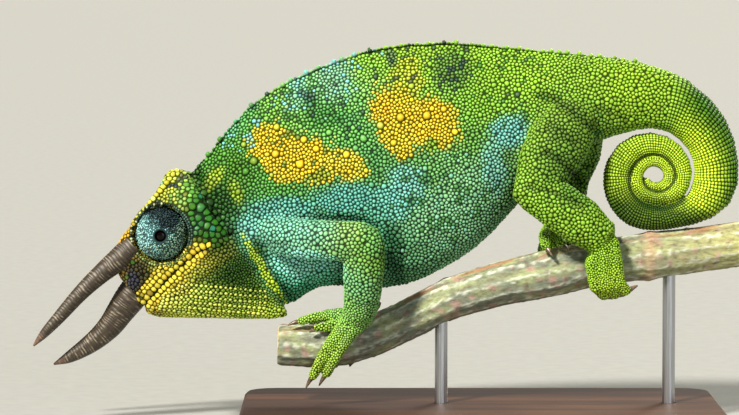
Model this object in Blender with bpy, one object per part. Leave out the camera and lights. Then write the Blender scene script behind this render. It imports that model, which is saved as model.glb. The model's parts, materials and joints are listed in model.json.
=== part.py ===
"""A three-horned chameleon gripping a cut length of branch, held on a plain display stand.

The animal faces -X with its left side towards -Y, +Z is up, and the origin is the centre of the
stand's underside. The body is one smooth form of slices, parted with thin cuts.
Every table is in millimetres; a place is (x, z) on the mid plane or (x, y, z) off it.
"""

from math import cos, pi, radians, sin

import bmesh
import bpy
from mathutils import Matrix, Vector

MM = 0.001
GAP = 0.3  # clearance between pieces that touch

# Display stand
BASE_LENGTH, BASE_DEPTH, BASE_THICK = 120.0, 64.0, 5.0
BASE_CORNER, BASE_EDGE = 8.0, 0.8
ROD_RADIUS = 1.6
ROD_AT = {"stand_rod_front": -10.0, "stand_rod_rear": 47.0}
ROD_SOCKET = 3.0  # how deep a rod sits in the base and in the branch

# Branch: x, z of its centreline and its radius, thicker at the leaf joint by the hind feet
BRANCH = [
    (-51.0, 19.6, 5.6),
    (-43.0, 19.3, 5.8),
    (-35.0, 19.6, 5.8),
    (-27.0, 22.0, 5.7),
    (-20.0, 25.2, 5.5),
    (-7.5, 31.4, 5.7),
    (5.0, 35.0, 6.0),
    (17.5, 37.7, 6.5),
    (30.0, 40.4, 6.1),
    (42.5, 42.0, 6.4),
    (55.0, 43.6, 6.1),
    (72.5, 46.0, 6.2),
]

# Torso slices from the nape to the root of the tail: back (x, z), belly (x, z), half width
TORSO = [
    ((-72.3, 63.2), (-49.6, 29.5), 8.2),
    ((-67.5, 68.5), (-45.0, 31.0), 8.0),
    ((-62.0, 75.6), (-42.0, 33.4), 8.6),
    ((-55.0, 81.8), (-37.5, 34.3), 9.3),
    ((-46.8, 86.7), (-31.5, 34.0), 9.8),
    ((-38.0, 90.2), (-24.8, 33.8), 10.0),
    ((-29.5, 93.3), (-18.0, 34.8), 10.0),
    ((-21.0, 94.8), (-11.5, 37.5), 9.9),
    ((-12.5, 95.4), (-5.0, 41.3), 9.6),
    ((-3.8, 95.3), (1.0, 45.8), 9.2),
    ((5.0, 94.4), (6.5, 51.8), 8.6),
    ((12.5, 93.7), (12.0, 58.0), 8.0),
    ((20.0, 93.0), (18.3, 64.3), 7.6),
    ((27.0, 92.2), (25.0, 68.8), 7.4),
    ((33.5, 91.5), (31.8, 71.4), 6.9),
    ((40.0, 90.4), (39.0, 73.5), 6.3),
]
NECK_END, TRUNK_END = 2.4, 12.8  # where the neck and the trunk stop, in slices
SLICE_STEP = 8.0  # between one slice and the next, where the cuts are
RIB_SKEW = 0.3  # how far the belly side is fuller than the back

# Tail: a spiral about this centre. Angle turns from +X downwards; outer edge, half width
COIL_CENTRE = (43.0, 61.7)
COIL = [
    (-100, 29.0, 6.3),
    (-75, 26.2, 6.0),
    (-45, 23.5, 5.6),
    (-15, 21.9, 5.3),
    (15, 20.7, 5.0),
    (30, 18.6, 4.8),
    (45, 16.0, 4.6),
    (65, 13.9, 4.4),
    (90, 13.2, 4.2),
    (120, 13.4, 3.9),
    (180, 12.5, 3.4),
    (225, 12.0, 3.2),
    (270, 11.0, 2.9),
    (315, 10.2, 2.7),
    (360, 9.5, 2.5),
    (405, 8.5, 2.3),
    (450, 7.3, 2.2),
    (540, 5.8, 1.9),
    (630, 5.5, 1.7),
    (720, 5.0, 1.5),
    (765, 4.0, 1.3),
    (810, 3.1, 1.1),
    (900, 2.2, 0.7),
]
COIL_GAP = 0.5  # between one turn and the next
TIP_TURN = 540  # past this angle nothing lies inside the tail
TIP_THICK = [(540, 3.1), (630, 2.8), (720, 2.5), (810, 1.9), (900, 0.9)]
TAIL_CUTS = {
    "tail_root": (-92, -70),
    "tail_arch": (-70, 35),
    "tail_outer_turn": (35, 200),
    "tail_middle_turn": (200, 420),
    "tail_tip_turn": (420, 895),
}
TAIL_START, TAIL_END = "tail_root", "tail_tip_turn"

# Head: it is pitched down, so its slices stand on the mouth line, from the snout backwards
SNOUT = (-84.3, 29.5)
HEAD_PITCH = 40.0
# along the mouth, height of the roof, half widths at the jaw, cheek, temple and brow
HEAD = [
    (-0.2, 9.0, 3.2, 3.4, 3.2, 2.2),
    (0.6, 11.6, 4.2, 4.5, 4.3, 3.2),
    (2.6, 15.0, 5.0, 5.6, 5.7, 4.6),
    (6.0, 16.9, 5.8, 6.6, 6.7, 5.6),
    (10.0, 17.7, 6.7, 7.4, 7.2, 6.0),
    (14.0, 18.7, 7.6, 8.2, 7.4, 6.0),
    (18.0, 19.2, 8.6, 9.2, 8.0, 5.6),
    (21.5, 20.2, 9.5, 10.0, 8.4, 4.8),
    (24.0, 21.6, 9.8, 10.1, 8.2, 3.8),
    (26.5, 22.2, 9.6, 9.9, 7.6, 2.6),
    (28.2, 21.3, 9.2, 9.4, 7.0, 2.2),
]
HEAD_LEVELS = (0.0, 0.3, 0.62, 0.92)
HEAD_BACK = ((-72.6, 62.9), (-62.5, 48.1))

# Throat slices: place on the mouth line, chin or pouch below it, half widths at the jaw,
# jowl and keel
THROAT = [
    (0.1, (-83.9, 27.6), 3.0, 2.6, 1.2),
    (1.6, (-82.0, 26.8), 4.2, 3.8, 1.8),
    (4.0, (-79.4, 26.3), 5.1, 4.7, 2.2),
    (8.0, (-74.5, 26.2), 6.1, 5.6, 2.6),
    (12.0, (-68.8, 26.1), 7.0, 6.3, 2.9),
    (17.0, (-62.0, 26.0), 8.2, 7.0, 3.2),
    (22.0, (-56.0, 25.9), 9.3, 7.6, 3.4),
    (26.0, (-51.6, 26.0), 9.3, 7.8, 2.6),
]
THROAT_LEVELS = (0.0, 0.14, 0.55, 1.0)
THROAT_BACK = ((-62.3, 47.6), (-48.2, 27.0))
JAW_DEPTH = 4.6  # the lower jaw, below the mouth line

# Eye turrets and the eyeball that shows in the opening of the lids
EYE_AT, EYE_OUT = (-79.6, 47.8), 6.5
EYE_RADIUS, EYE_REACH = 6.9, 5.7
PUPIL_RADIUS, PUPIL_DEPTH = 1.25, 1.4

# Horns: x, y, z along the middle, with the radius there
BROW_HORN = [
    (-87.5, 4.0, 44.3, 3.2),
    (-90.4, 4.4, 41.5, 3.05),
    (-95.0, 4.7, 37.7, 2.5),
    (-100.0, 5.0, 33.0, 2.1),
    (-105.0, 5.2, 27.4, 1.8),
    (-109.0, 5.3, 23.0, 1.3),
    (-112.0, 5.4, 19.5, 0.3),
]
NOSE_HORN = [
    (-84.8, 0.0, 35.4, 4.3),
    (-87.6, 0.0, 31.7, 4.1),
    (-90.3, 0.0, 28.0, 3.7),
    (-92.7, 0.0, 24.6, 3.3),
    (-95.8, 0.0, 21.5, 2.85),
    (-99.4, 0.0, 18.8, 2.35),
    (-103.4, 0.0, 16.4, 1.6),
    (-107.4, 0.0, 14.5, 0.35),
]

# Limbs: root, middle, joint, middle and end, each x, y, z and radius. Left is -Y.
LIMB_FLATNESS = 0.72  # thickness from side to side against the radius
LIMBS = {
    "left_arm": {
        "names": ("left_upper_arm", "left_forearm"),
        "upper": [
            (-56.0, -4.0, 49.5, 5.0),
            (-46.0, -11.0, 47.0, 5.0),
            (-37.5, -14.6, 47.1, 5.0),
            (-29.4, -15.6, 46.2, 5.4),
        ],
        "lower": [
            (-29.4, -15.6, 46.2, 5.4),
            (-29.4, -14.2, 38.5, 5.2),
            (-30.0, -11.0, 31.0, 4.7),
            (-31.6, -7.8, 26.2, 3.9),
        ],
    },
    "right_arm": {
        "names": ("right_upper_arm", "right_forearm"),
        "upper": [
            (-56.0, 4.0, 49.5, 5.0),
            (-46.5, 11.0, 46.6, 5.0),
            (-38.0, 14.8, 45.6, 4.8),
            (-31.4, 15.8, 43.9, 4.8),
        ],
        "lower": [
            (-31.4, 15.8, 43.9, 4.8),
            (-30.4, 14.6, 37.0, 4.9),
            (-29.8, 11.4, 31.0, 4.4),
            (-29.3, 8.4, 27.0, 3.8),
        ],
    },
    "left_leg": {
        "names": ("left_thigh", "left_shank"),
        "upper": [
            (24.0, -3.0, 80.0, 6.0),
            (20.6, -7.0, 74.0, 7.8),
            (16.4, -10.0, 66.4, 7.9),
            (11.9, -12.4, 58.9, 5.0),
        ],
        "lower": [
            (11.9, -12.4, 58.9, 5.0),
            (21.4, -12.0, 53.6, 6.5),
            (29.6, -9.6, 47.0, 4.6),
        ],
    },
    "right_leg": {
        "names": ("right_thigh", "right_shank"),
        "upper": [
            (23.5, 3.0, 78.5, 6.8),
            (24.5, 9.0, 69.5, 6.8),
            (23.0, 13.6, 60.5, 5.0),
        ],
        "lower": [
            (23.0, 13.6, 60.5, 5.0),
            (21.5, 12.6, 54.5, 5.2),
            (19.6, 9.8, 48.6, 4.1),
        ],
    },
}

# Toes of each bundle, from the palm to the claw: x, y, z and radius; then the claw's tip
TOES = {
    "left_hand_outer": [
        ([(-33.2, -8.2, 25.6, 2.6), (-37.2, -8.8, 21.4, 1.8), (-39.9, -8.7, 17.0, 1.55),
          (-42.1, -7.9, 12.6, 1.35)], (-43.9, -6.7, 9.4)),
        ([(-31.6, -8.4, 25.2, 2.6), (-34.4, -8.9, 21.0, 1.8), (-36.8, -8.8, 16.8, 1.55),
          (-38.7, -7.9, 13.2, 1.35)], (-40.6, -6.8, 10.0)),
    ],
    "left_hand_inner": [
        ([(-32.8, -5.8, 26.6, 2.3), (-36.8, -4.6, 27.5, 1.7), (-41.2, -3.5, 27.0, 1.45),
          (-45.2, -3.7, 25.9, 1.2)], (-48.4, -4.0, 24.9)),
        ([(-32.6, -6.4, 26.0, 2.2), (-35.6, -6.6, 25.2, 1.7), (-38.6, -6.4, 24.8, 1.5),
          (-40.9, -6.2, 24.4, 1.3)], (-43.0, -6.0, 23.4)),
        ([(-32.0, -4.4, 26.7, 2.2), (-35.4, 0.4, 27.4, 1.7), (-38.8, 3.0, 26.9, 1.5),
          (-41.6, 4.9, 25.2, 1.3)], (-43.4, 6.4, 23.4)),
    ],
    "right_hand_outer": [
        ([(-30.4, 8.6, 26.2, 2.4), (-32.6, 8.9, 22.2, 1.8), (-34.4, 8.2, 18.4, 1.6),
          (-35.6, 6.4, 14.8, 1.35)], (-36.4, 4.0, 13.4)),
        ([(-29.2, 8.8, 26.4, 2.4), (-30.0, 9.1, 22.4, 1.8), (-31.2, 8.5, 18.6, 1.6),
          (-32.2, 6.7, 15.0, 1.35)], (-33.0, 4.3, 13.6)),
    ],
    "right_hand_inner": [
        ([(-30.8, 6.6, 27.4, 2.0), (-31.2, 3.8, 27.8, 1.4), (-31.0, 1.6, 28.0, 1.25),
          (-30.8, 0.0, 27.8, 1.15)], (-30.8, -1.8, 26.9)),
        ([(-30.0, 6.4, 27.6, 2.0), (-29.0, 3.6, 28.4, 1.4), (-28.6, 1.2, 28.8, 1.25),
          (-28.4, -0.4, 28.7, 1.15)], (-28.4, -2.2, 27.8)),
        ([(-29.2, 6.8, 27.6, 2.0), (-27.0, 4.2, 28.4, 1.4), (-26.2, 1.8, 29.0, 1.25),
          (-25.9, 0.6, 29.6, 1.15)], (-25.7, -0.8, 29.9)),
    ],
    "left_foot_outer": [
        ([(28.0, -9.6, 46.0, 2.8), (27.3, -9.5, 40.4, 2.1), (28.2, -8.8, 35.0, 1.9),
          (30.5, -6.6, 32.6, 1.6)], (32.8, -5.0, 31.6)),
        ([(29.8, -9.8, 45.8, 2.8), (30.2, -9.8, 40.4, 2.1), (31.0, -9.0, 35.2, 1.9),
          (33.2, -6.9, 32.9, 1.6)], (35.6, -5.4, 32.4)),
        ([(31.6, -9.4, 45.8, 2.6), (33.0, -9.5, 40.6, 2.1), (33.8, -9.0, 36.0, 1.9),
          (35.9, -7.6, 33.7, 1.5)], (38.7, -7.3, 35.2)),
    ],
    "left_foot_inner": [
        ([(29.6, -6.0, 48.8, 2.4), (29.4, 1.0, 48.9, 1.9), (29.2, 7.0, 45.0, 1.7),
          (29.6, 8.6, 39.6, 1.5)], (30.8, 7.6, 36.6)),
        ([(30.6, -6.0, 48.8, 2.4), (31.8, 1.0, 49.2, 1.9), (32.4, 7.0, 45.6, 1.7),
          (32.8, 8.8, 40.4, 1.5)], (33.8, 7.8, 37.4)),
    ],
    "right_foot_outer": [
        ([(18.6, 9.8, 47.4, 2.7), (16.4, 9.8, 42.8, 2.1), (15.8, 9.7, 38.0, 1.9),
          (16.4, 8.0, 34.0, 1.6)], (17.8, 5.8, 32.2)),
        ([(20.0, 10.0, 47.4, 2.7), (19.8, 9.9, 43.0, 2.1), (19.3, 9.8, 38.4, 1.9),
          (19.8, 8.2, 34.4, 1.6)], (21.2, 6.0, 32.6)),
        ([(21.2, 9.8, 47.4, 2.6), (22.8, 9.6, 43.2, 2.1), (22.9, 9.7, 38.8, 1.9),
          (23.2, 8.2, 34.9, 1.6)], (24.6, 6.2, 33.1)),
    ],
    "right_foot_inner": [
        ([(18.8, 7.0, 49.2, 2.3), (16.6, 2.4, 47.9, 1.9), (15.6, -2.4, 47.0, 1.7),
          (15.9, -6.0, 44.8, 1.4)], (17.4, -7.9, 42.6)),
        ([(20.2, 6.8, 49.4, 2.3), (20.0, 2.4, 48.4, 1.9), (19.4, -2.4, 47.3, 1.7),
          (19.8, -5.8, 45.4, 1.4)], (21.6, -7.5, 43.6)),
    ],
}
CLAW_RADIUS = 0.62
TOE_SIDES, CLAW_SIDES = 7, 5

COLOURS = {
    "skin": ((0.20, 0.42, 0.04), 0.55, 0.0),
    "lid": ((0.22, 0.42, 0.42), 0.5, 0.0),
    "eyeball": ((0.01, 0.01, 0.01), 0.1, 0.0),
    "horn": ((0.16, 0.11, 0.09), 0.5, 0.0),
    "claw": ((0.10, 0.06, 0.04), 0.4, 0.0),
    "bark": ((0.36, 0.38, 0.26), 0.8, 0.0),
    "stand_wood": ((0.20, 0.12, 0.07), 0.45, 0.0),
    "stand_steel": ((0.55, 0.55, 0.56), 0.3, 1.0),
}


def clear_scene():
    for thing in list(bpy.data.objects):
        bpy.data.objects.remove(thing)


def material(name):
    if name in bpy.data.materials:
        return bpy.data.materials[name]
    colour, roughness, metallic = COLOURS[name]
    made = bpy.data.materials.new(name)
    made.use_nodes = True
    shader = made.node_tree.nodes["Principled BSDF"]
    shader.inputs["Base Color"].default_value = (*colour, 1.0)
    shader.inputs["Roughness"].default_value = roughness
    shader.inputs["Metallic"].default_value = metallic
    return made


def smooth_value(rows, at):
    """Value at a place along rows of (place, value...), on a smooth curve through them."""
    last = len(rows) - 1
    i = 0
    while i < last - 1 and at > rows[i + 1][0]:
        i += 1
    (a, *start), (b, *end) = rows[i], rows[i + 1]
    share = min(max((at - a) / (b - a), 0.0), 1.0)
    found = []
    for k in range(len(start)):

        def slope(j):
            low, high = max(j - 1, 0), min(j + 1, last)
            return (rows[high][k + 1] - rows[low][k + 1]) / (rows[high][0] - rows[low][0])

        m0, m1 = slope(i) * (b - a), slope(i + 1) * (b - a)
        s2, s3 = share * share, share * share * share
        found.append(
            (2 * s3 - 3 * s2 + 1) * start[k]
            + (s3 - 2 * s2 + share) * m0
            + (3 * s2 - 2 * s3) * end[k]
            + (s3 - s2) * m1
        )
    return found


def mesh_object(name, mesh, finish):
    thing = bpy.data.objects.new(name, mesh)
    bpy.context.scene.collection.objects.link(thing)
    if finish:
        mesh.materials.append(material(finish))
        mesh.shade_smooth()
        mesh.set_sharp_from_angle(angle=radians(50))
    else:
        thing.hide_render = True
        thing.display_type = "WIRE"
    return thing


def loft(name, rings, finish):
    """One closed solid over rings of points in millimetres."""
    shape = bmesh.new()
    loops = [[shape.verts.new(Vector(p) * MM) for p in ring] for ring in rings]
    for near, far in zip(loops, loops[1:]):
        for k in range(len(near)):
            n = (k + 1) % len(near)
            shape.faces.new((near[k], near[n], far[n], far[k]))
    shape.faces.new(loops[0])
    shape.faces.new(list(reversed(loops[-1])))
    bmesh.ops.recalc_face_normals(shape, faces=shape.faces)
    mesh = bpy.data.meshes.new(name)
    shape.to_mesh(mesh)
    shape.free()
    return mesh_object(name, mesh, finish)


def subtract(thing, *cutters):
    for cutter in cutters:
        cut = thing.modifiers.new("cut_" + cutter.name, "BOOLEAN")
        cut.operation = "DIFFERENCE"
        cut.solver = "EXACT"
        cut.object = cutter
    return thing


def join(thing, *others):
    for other in others:
        union = thing.modifiers.new("join_" + other.name, "BOOLEAN")
        union.operation = "UNION"
        union.solver = "EXACT"
        union.object = other
    return thing


def bake_modifiers(thing):
    """Turns the modifiers into mesh, so that a plane can part it."""
    graph = bpy.context.evaluated_depsgraph_get()
    mesh = bpy.data.meshes.new_from_object(thing.evaluated_get(graph))
    thing.modifiers.clear()
    thing.data = mesh
    return thing


def keep_side(thing, point, normal):
    """Keeps what lies on the normal's side of a plane, half a gap from it, and closes it."""
    normal = Vector(normal).normalized()
    shape = bmesh.new()
    shape.from_mesh(thing.data)
    everything = shape.verts[:] + shape.edges[:] + shape.faces[:]
    cut = bmesh.ops.bisect_plane(
        shape,
        geom=everything,
        dist=1e-7,
        plane_co=(Vector(point) + normal * GAP / 2) * MM,
        plane_no=normal,
        clear_inner=True,
    )
    rim = [e for e in cut["geom_cut"] if isinstance(e, bmesh.types.BMEdge)]
    bmesh.ops.holes_fill(shape, edges=rim, sides=0)
    bmesh.ops.recalc_face_normals(shape, faces=shape.faces)
    shape.to_mesh(thing.data)
    shape.free()
    return thing


def slice_ring(back, belly, width_at, count, grow=0.0):
    """A ring round one slice of the body: count levels from belly to back, down both sides."""
    back, belly = Vector((back[0], 0, back[1])), Vector((belly[0], 0, belly[1]))
    up = (back - belly).normalized()
    back, belly = back + up * grow, belly - up * grow
    levels = [(1 - cos(pi * j / (count - 1))) / 2 for j in range(count)]
    ring = [back]
    for side, order in ((-1, reversed(levels[1:-1])), (1, levels[1:-1])):
        if side == 1:
            ring.append(belly)
        for level in order:
            place = belly.lerp(back, level)
            place.y = side * (width_at(level) + grow)
            ring.append(place)
    return ring


def rib_width(half, keel, level):
    """Half width of a torso slice: an oval drawn out to keels on the back and the belly."""
    power = 0.5 + keel * (0.5 + 0.5 * level)
    oval = max(4 * level * (1 - level), 0.0) ** power
    return half * oval * (1 + RIB_SKEW * keel * 4 * (0.5 - level))


def torso_ring(at, count, grow=0.0):
    rows = [(i, *back, *belly, half) for i, (back, belly, half) in enumerate(TORSO)]
    x1, z1, x0, z0, half = smooth_value(rows, at)
    keel = 0.28 * min(1.0, max(0.0, (len(TORSO) - 1 - at) / 5))
    return slice_ring(
        (x1, z1), (x0, z0), lambda level: rib_width(half, keel, level), count, grow
    )


def coil_edges(angle):
    """Outer edge, inner edge and half width of the tail: each turn lies round the next."""
    outer, half = smooth_value(COIL, angle)
    if angle <= TIP_TURN:
        spare = COIL_GAP + 0.5 * max(0.0, min(1.0, (-30 - angle) / 40))
        inner = smooth_value(COIL, angle + 360)[0] + spare
    else:
        inner = outer - smooth_value(TIP_THICK, angle)[0]
    return outer, inner, half


def coil_ring(angle, count):
    outer, inner, half = coil_edges(angle)
    way = Vector((cos(radians(angle)), -sin(radians(angle))))
    centre = Vector(COIL_CENTRE)
    return slice_ring(
        centre + way * outer,
        centre + way * inner,
        lambda level: half * max(4 * level * (1 - level), 0.0) ** 0.5,
        count,
    )


def spaced(start, end, step):
    count = max(1, round((end - start) / step))
    return [start + (end - start) * i / count for i in range(count + 1)]


def turn_gap(angle):
    """Half a gap along the middle of the tail, as an angle."""
    outer, inner, _ = coil_edges(angle)
    return GAP / (outer + inner) / radians(1)


def coil_rings(start, end):
    """Rings from one angle to another, fewer and coarser where the tail is thin."""
    count, step = (9, 14) if start < 200 else (6, 21)
    return [coil_ring(angle, count) for angle in spaced(start, end, step)]


def body_and_tail():
    half_gap = GAP / 2 / SLICE_STEP
    trunk_start, root_start = NECK_END + half_gap, TRUNK_END + half_gap
    ends = {"neck": (0.0, NECK_END - half_gap), "trunk": (trunk_start, TRUNK_END - half_gap)}
    for name, (start, end) in ends.items():
        loft(name, [torso_ring(at, 12) for at in spaced(start, end, 0.7)], "skin")
    for name, (start, end) in TAIL_CUTS.items():
        end -= turn_gap(end) if name != TAIL_END else 0
        if name == TAIL_START:
            torso = [torso_ring(at, 9) for at in spaced(root_start, len(TORSO) - 1, 0.55)]
            loft(name, torso + coil_rings(start, end), "skin")
        else:
            loft(name, coil_rings(start + turn_gap(start), end), "skin")


def on_mouth(along, up):
    """A place on the mid plane from the head's own frame: along the mouth line and above it."""
    pitch = radians(HEAD_PITCH)
    return (
        SNOUT[0] + along * cos(pitch) - up * sin(pitch),
        SNOUT[1] + along * sin(pitch) + up * cos(pitch),
    )


def head_rings(grow=0.0):
    rows = [(i, *row) for i, row in enumerate(HEAD)]
    rings = []
    for at in spaced(0, len(HEAD) - 1, 0.8):
        along, top, *widths = smooth_value(rows, at)
        along -= grow if at == 0 else 0
        levels = list(zip(HEAD_LEVELS, widths))
        rings.append(
            slice_ring(
                on_mouth(along, top),
                on_mouth(along, GAP / 2),
                lambda level: smooth_value(levels, level)[0],
                11,
                grow,
            )
        )
    widths = list(zip(HEAD_LEVELS, HEAD[-1][2:]))
    rings.append(
        slice_ring(*HEAD_BACK, lambda level: smooth_value(widths, level)[0], 11, grow)
    )
    return rings


def throat_rings(grow=0.0):
    rings = []
    rows = [(i, on, *low, *w) for i, (on, low, *w) in enumerate(THROAT)]
    for at in spaced(0, len(THROAT) - 1, 0.7):
        on, x, z, jaw, jowl, keel = smooth_value(rows, at)
        on -= grow if at == 0 else 0
        levels = list(zip(THROAT_LEVELS, (keel * 0.4, keel, jowl, jaw)))
        rings.append(
            slice_ring(
                on_mouth(on, -GAP / 2),
                (x, z),
                lambda level: smooth_value(levels, level)[0],
                9,
                grow,
            )
        )
    jaw, jowl, keel = THROAT[-1][2:]
    levels = list(zip(THROAT_LEVELS, (keel * 0.4, keel, jowl, jaw)))
    rings.append(
        slice_ring(*THROAT_BACK, lambda level: smooth_value(levels, level)[0], 9, grow)
    )
    return rings


def tube_rings(rows, sides, round_start=False, round_end=False, grow=0.0, steps=2, flat=1.0):
    """Rings along a smooth path of (x, y, z, radius) rows, with rounded ends if asked."""
    path = [(i, *row) for i, row in enumerate(rows)]
    places = []
    for at in spaced(0, len(rows) - 1, 1 / steps):
        *point, radius = smooth_value(path, at)
        places.append((Vector(point), radius + grow))
    stations = []
    for i, (point, radius) in enumerate(places):
        low, high = places[max(i - 1, 0)][0], places[min(i + 1, len(places) - 1)][0]
        stations.append((point, radius, (high - low).normalized()))
    if round_start:
        point, radius, way = stations[0]
        caps = [(point - way * radius * sin(a), radius * cos(a), way) for a in (1.3, 0.75)]
        stations = caps + stations
    if round_end:
        point, radius, way = stations[-1]
        caps = [(point + way * radius * sin(a), radius * cos(a), way) for a in (0.75, 1.3)]
        stations = stations + caps
    side = stations[0][2].orthogonal()
    rings = []
    for point, radius, way in stations:
        side = (side - way * side.dot(way)).normalized()
        turn = [Matrix.Rotation(2 * pi * k / sides, 3, way) @ side for k in range(sides)]
        squash = Vector((1, flat, 1))
        rings.append([point + arm * radius * squash for arm in turn])
    return rings


def mirrored(rows, side):
    return [(x, side * y, z, r) for x, y, z, r in rows]


def branch_rows():
    return [(x, 0.0, z, r) for x, z, r in BRANCH]


def head_and_face():
    cutter = loft("cut_head", head_rings(grow=GAP), None)
    chin = loft("cut_throat", throat_rings(grow=GAP), None)
    head = loft("head", head_rings(), "skin")
    lower = {
        name: loft(name, throat_rings(), "skin") for name in ("lower_jaw", "throat")
    }
    down = on_mouth(0, -1)
    normal = (down[0] - SNOUT[0], 0, down[1] - SNOUT[1])
    x, z = on_mouth(10, -JAW_DEPTH)
    keep_side(lower["throat"], (x, 0, z), normal)
    keep_side(lower["lower_jaw"], (x, 0, z), [-n for n in normal])
    for name, side in (("left", -1), ("right", 1)):
        ball(f"eye_{name}", side, EYE_RADIUS, EYE_REACH, "lid")
        subtract(head, ball(f"cut_socket_{name}", side, EYE_RADIUS + GAP, EYE_REACH + GAP))
        eyeball(name, side)
        horn = loft(f"horn_brow_{name}", tube_rings(mirrored(BROW_HORN, side), 10, steps=1.5), "horn")
        subtract(horn, cutter)
    nose = loft("horn_nose", tube_rings(NOSE_HORN, 10, steps=1.5), "horn")
    subtract(nose, cutter, chin)
    return cutter, chin


def ball(name, side, radius, reach, finish=None):
    """An eye turret, flattened or drawn out sideways."""
    shape = bmesh.new()
    bmesh.ops.create_uvsphere(shape, u_segments=16, v_segments=9, radius=radius * MM)
    bmesh.ops.rotate(shape, matrix=Matrix.Rotation(pi / 2, 3, "X"), verts=shape.verts)
    bmesh.ops.scale(shape, vec=(1, reach / radius, 1), verts=shape.verts)
    place = Vector((EYE_AT[0], side * EYE_OUT, EYE_AT[1])) * MM
    bmesh.ops.translate(shape, vec=place, verts=shape.verts)
    mesh = bpy.data.meshes.new(name)
    shape.to_mesh(mesh)
    shape.free()
    return mesh_object(name, mesh, finish)


def eyeball(name, side):
    """The lids meet in a small round opening, and the eye fills its floor."""
    front = side * (EYE_OUT + EYE_REACH)
    floor = front - side * PUPIL_DEPTH
    x, z = EYE_AT
    opening = tube_rings(
        [(x, floor, z, PUPIL_RADIUS), (x, front + side * 2, z, PUPIL_RADIUS)], 12
    )
    turret = bpy.data.objects[f"eye_{name}"]
    subtract(turret, loft(f"cut_opening_{name}", opening, None))
    radius = PUPIL_RADIUS - GAP
    dome = [
        (x, floor + side * GAP, z, radius),
        (x, floor + side * (GAP + 0.35), z, radius),
        (x, floor + side * (GAP + 0.75), z, radius * 0.55),
    ]
    loft(f"eyeball_{name}", tube_rings(dome, 10, steps=1), "eyeball")


def branch_and_stand():
    branch = loft("perch", tube_rings(branch_rows(), 12, steps=1), "bark")
    grown = loft("cut_perch", tube_rings(branch_rows(), 12, grow=GAP, steps=1), None)
    slab = rounded_slab()
    for name, x in ROD_AT.items():
        z, radius = smooth_value(BRANCH, x)
        top = z - radius + ROD_SOCKET
        foot = BASE_THICK - ROD_SOCKET
        for prefix, r, extra in ((name, ROD_RADIUS, 0.0), ("cut_" + name, ROD_RADIUS + GAP, GAP)):
            ends = [(x, 0, foot - extra, r), (x, 0, top + extra, r)]
            finish = "stand_steel" if prefix == name else None
            rod = loft(prefix, tube_rings(ends, 16, steps=1), finish)
        subtract(branch, rod)
        subtract(slab, rod)
    return grown


def rounded_slab():
    shape = bmesh.new()
    bmesh.ops.create_cube(shape, size=MM)
    bmesh.ops.scale(shape, vec=(BASE_LENGTH, BASE_DEPTH, BASE_THICK), verts=shape.verts)
    bmesh.ops.translate(shape, vec=(0, 0, BASE_THICK / 2 * MM), verts=shape.verts)
    upright = [e for e in shape.edges if abs(e.verts[0].co.z - e.verts[1].co.z) > MM]
    rounding = {"segments": 4, "profile": 0.5, "affect": "EDGES"}
    bmesh.ops.bevel(shape, geom=upright, offset=BASE_CORNER * MM, **rounding)
    top = [e for e in shape.edges if all(v.co.z > (BASE_THICK - 0.1) * MM for v in e.verts)]
    rounding["segments"] = 1
    bmesh.ops.bevel(shape, geom=top, offset=BASE_EDGE * MM, **rounding)
    mesh = bpy.data.meshes.new("stand_base")
    shape.to_mesh(mesh)
    shape.free()
    return mesh_object("stand_base", mesh, "stand_wood")


def limbs(flesh_cutters, perch_cutter):
    for parts in LIMBS.values():
        upper_name, lower_name = parts["names"]
        upper_rings, lower_rings = (
            tube_rings(parts[part], 12, True, True, steps=1.4, flat=LIMB_FLATNESS)
            for part in ("upper", "lower")
        )
        upper = loft(upper_name, upper_rings, "skin")
        lower = loft(lower_name, lower_rings, "skin")
        joint = Vector(parts["lower"][0][:3])
        before, after = Vector(parts["upper"][-2][:3]), Vector(parts["lower"][1][:3])
        mitre = (after - joint).normalized() - (before - joint).normalized()
        keep_side(upper, joint, -mitre)
        keep_side(lower, joint, mitre)
        end, inner = Vector(parts["lower"][-1][:3]), Vector(parts["lower"][-2][:3])
        keep_side(lower, end, inner - end)
        subtract(upper, *flesh_cutters)
        subtract(lower, perch_cutter)


def feet(perch_cutter):
    for limb, foot in (("left_arm", "left_hand"), ("right_arm", "right_hand"),
                       ("left_leg", "left_foot"), ("right_leg", "right_foot")):
        end, inner = (Vector(LIMBS[limb]["lower"][k][:3]) for k in (-1, -2))
        roots = {}
        for part in ("outer", "inner"):
            starts = [Vector(path[0][:3]) for path, _ in TOES[f"{foot}_{part}"]]
            roots[part] = sum(starts, Vector()) / len(starts)
        between = (roots["outer"] + roots["inner"]) / 2
        apart = roots["outer"] - roots["inner"]
        for part, way in (("outer", apart), ("inner", -apart)):
            bundle = toe_bundle(f"{foot}_{part}", TOES[f"{foot}_{part}"])
            keep_side(bundle, end, end - inner)
            keep_side(bundle, between, way)
            subtract(bundle, perch_cutter)


def toe_bundle(name, toes):
    """The fused toes of one side of a foot, each ending flat where its claw starts."""
    whole = None
    for number, (path, tip) in enumerate(toes):
        claw_start = Vector(path[-1][:3])
        way = (Vector(tip) - claw_start).normalized()
        toe_end = claw_start + way * path[-1][3] * 0.75
        rows = list(path) + [(*toe_end, CLAW_RADIUS * 1.25)]
        rings = tube_rings(rows, TOE_SIDES, round_start=True, steps=1)
        if whole is None:
            whole = loft(f"{name}_toes", rings, "skin")
        else:
            join(whole, loft(f"cut_{name}_{number}", rings, None))
        claw(f"{name}_claw_{number + 1}", toe_end + way * GAP, way, Vector(tip))
    return bake_modifiers(whole)


def claw(name, start, way, tip):
    length = (tip - start).length
    droop = Vector((0, 0, -0.12 * length))
    rows = [
        (*start, CLAW_RADIUS),
        (*(start + way * length * 0.5 - droop * 0.6), CLAW_RADIUS * 0.72),
        (*tip, CLAW_RADIUS * 0.22),
    ]
    loft(name, tube_rings(rows, CLAW_SIDES, steps=1), "claw")


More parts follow.
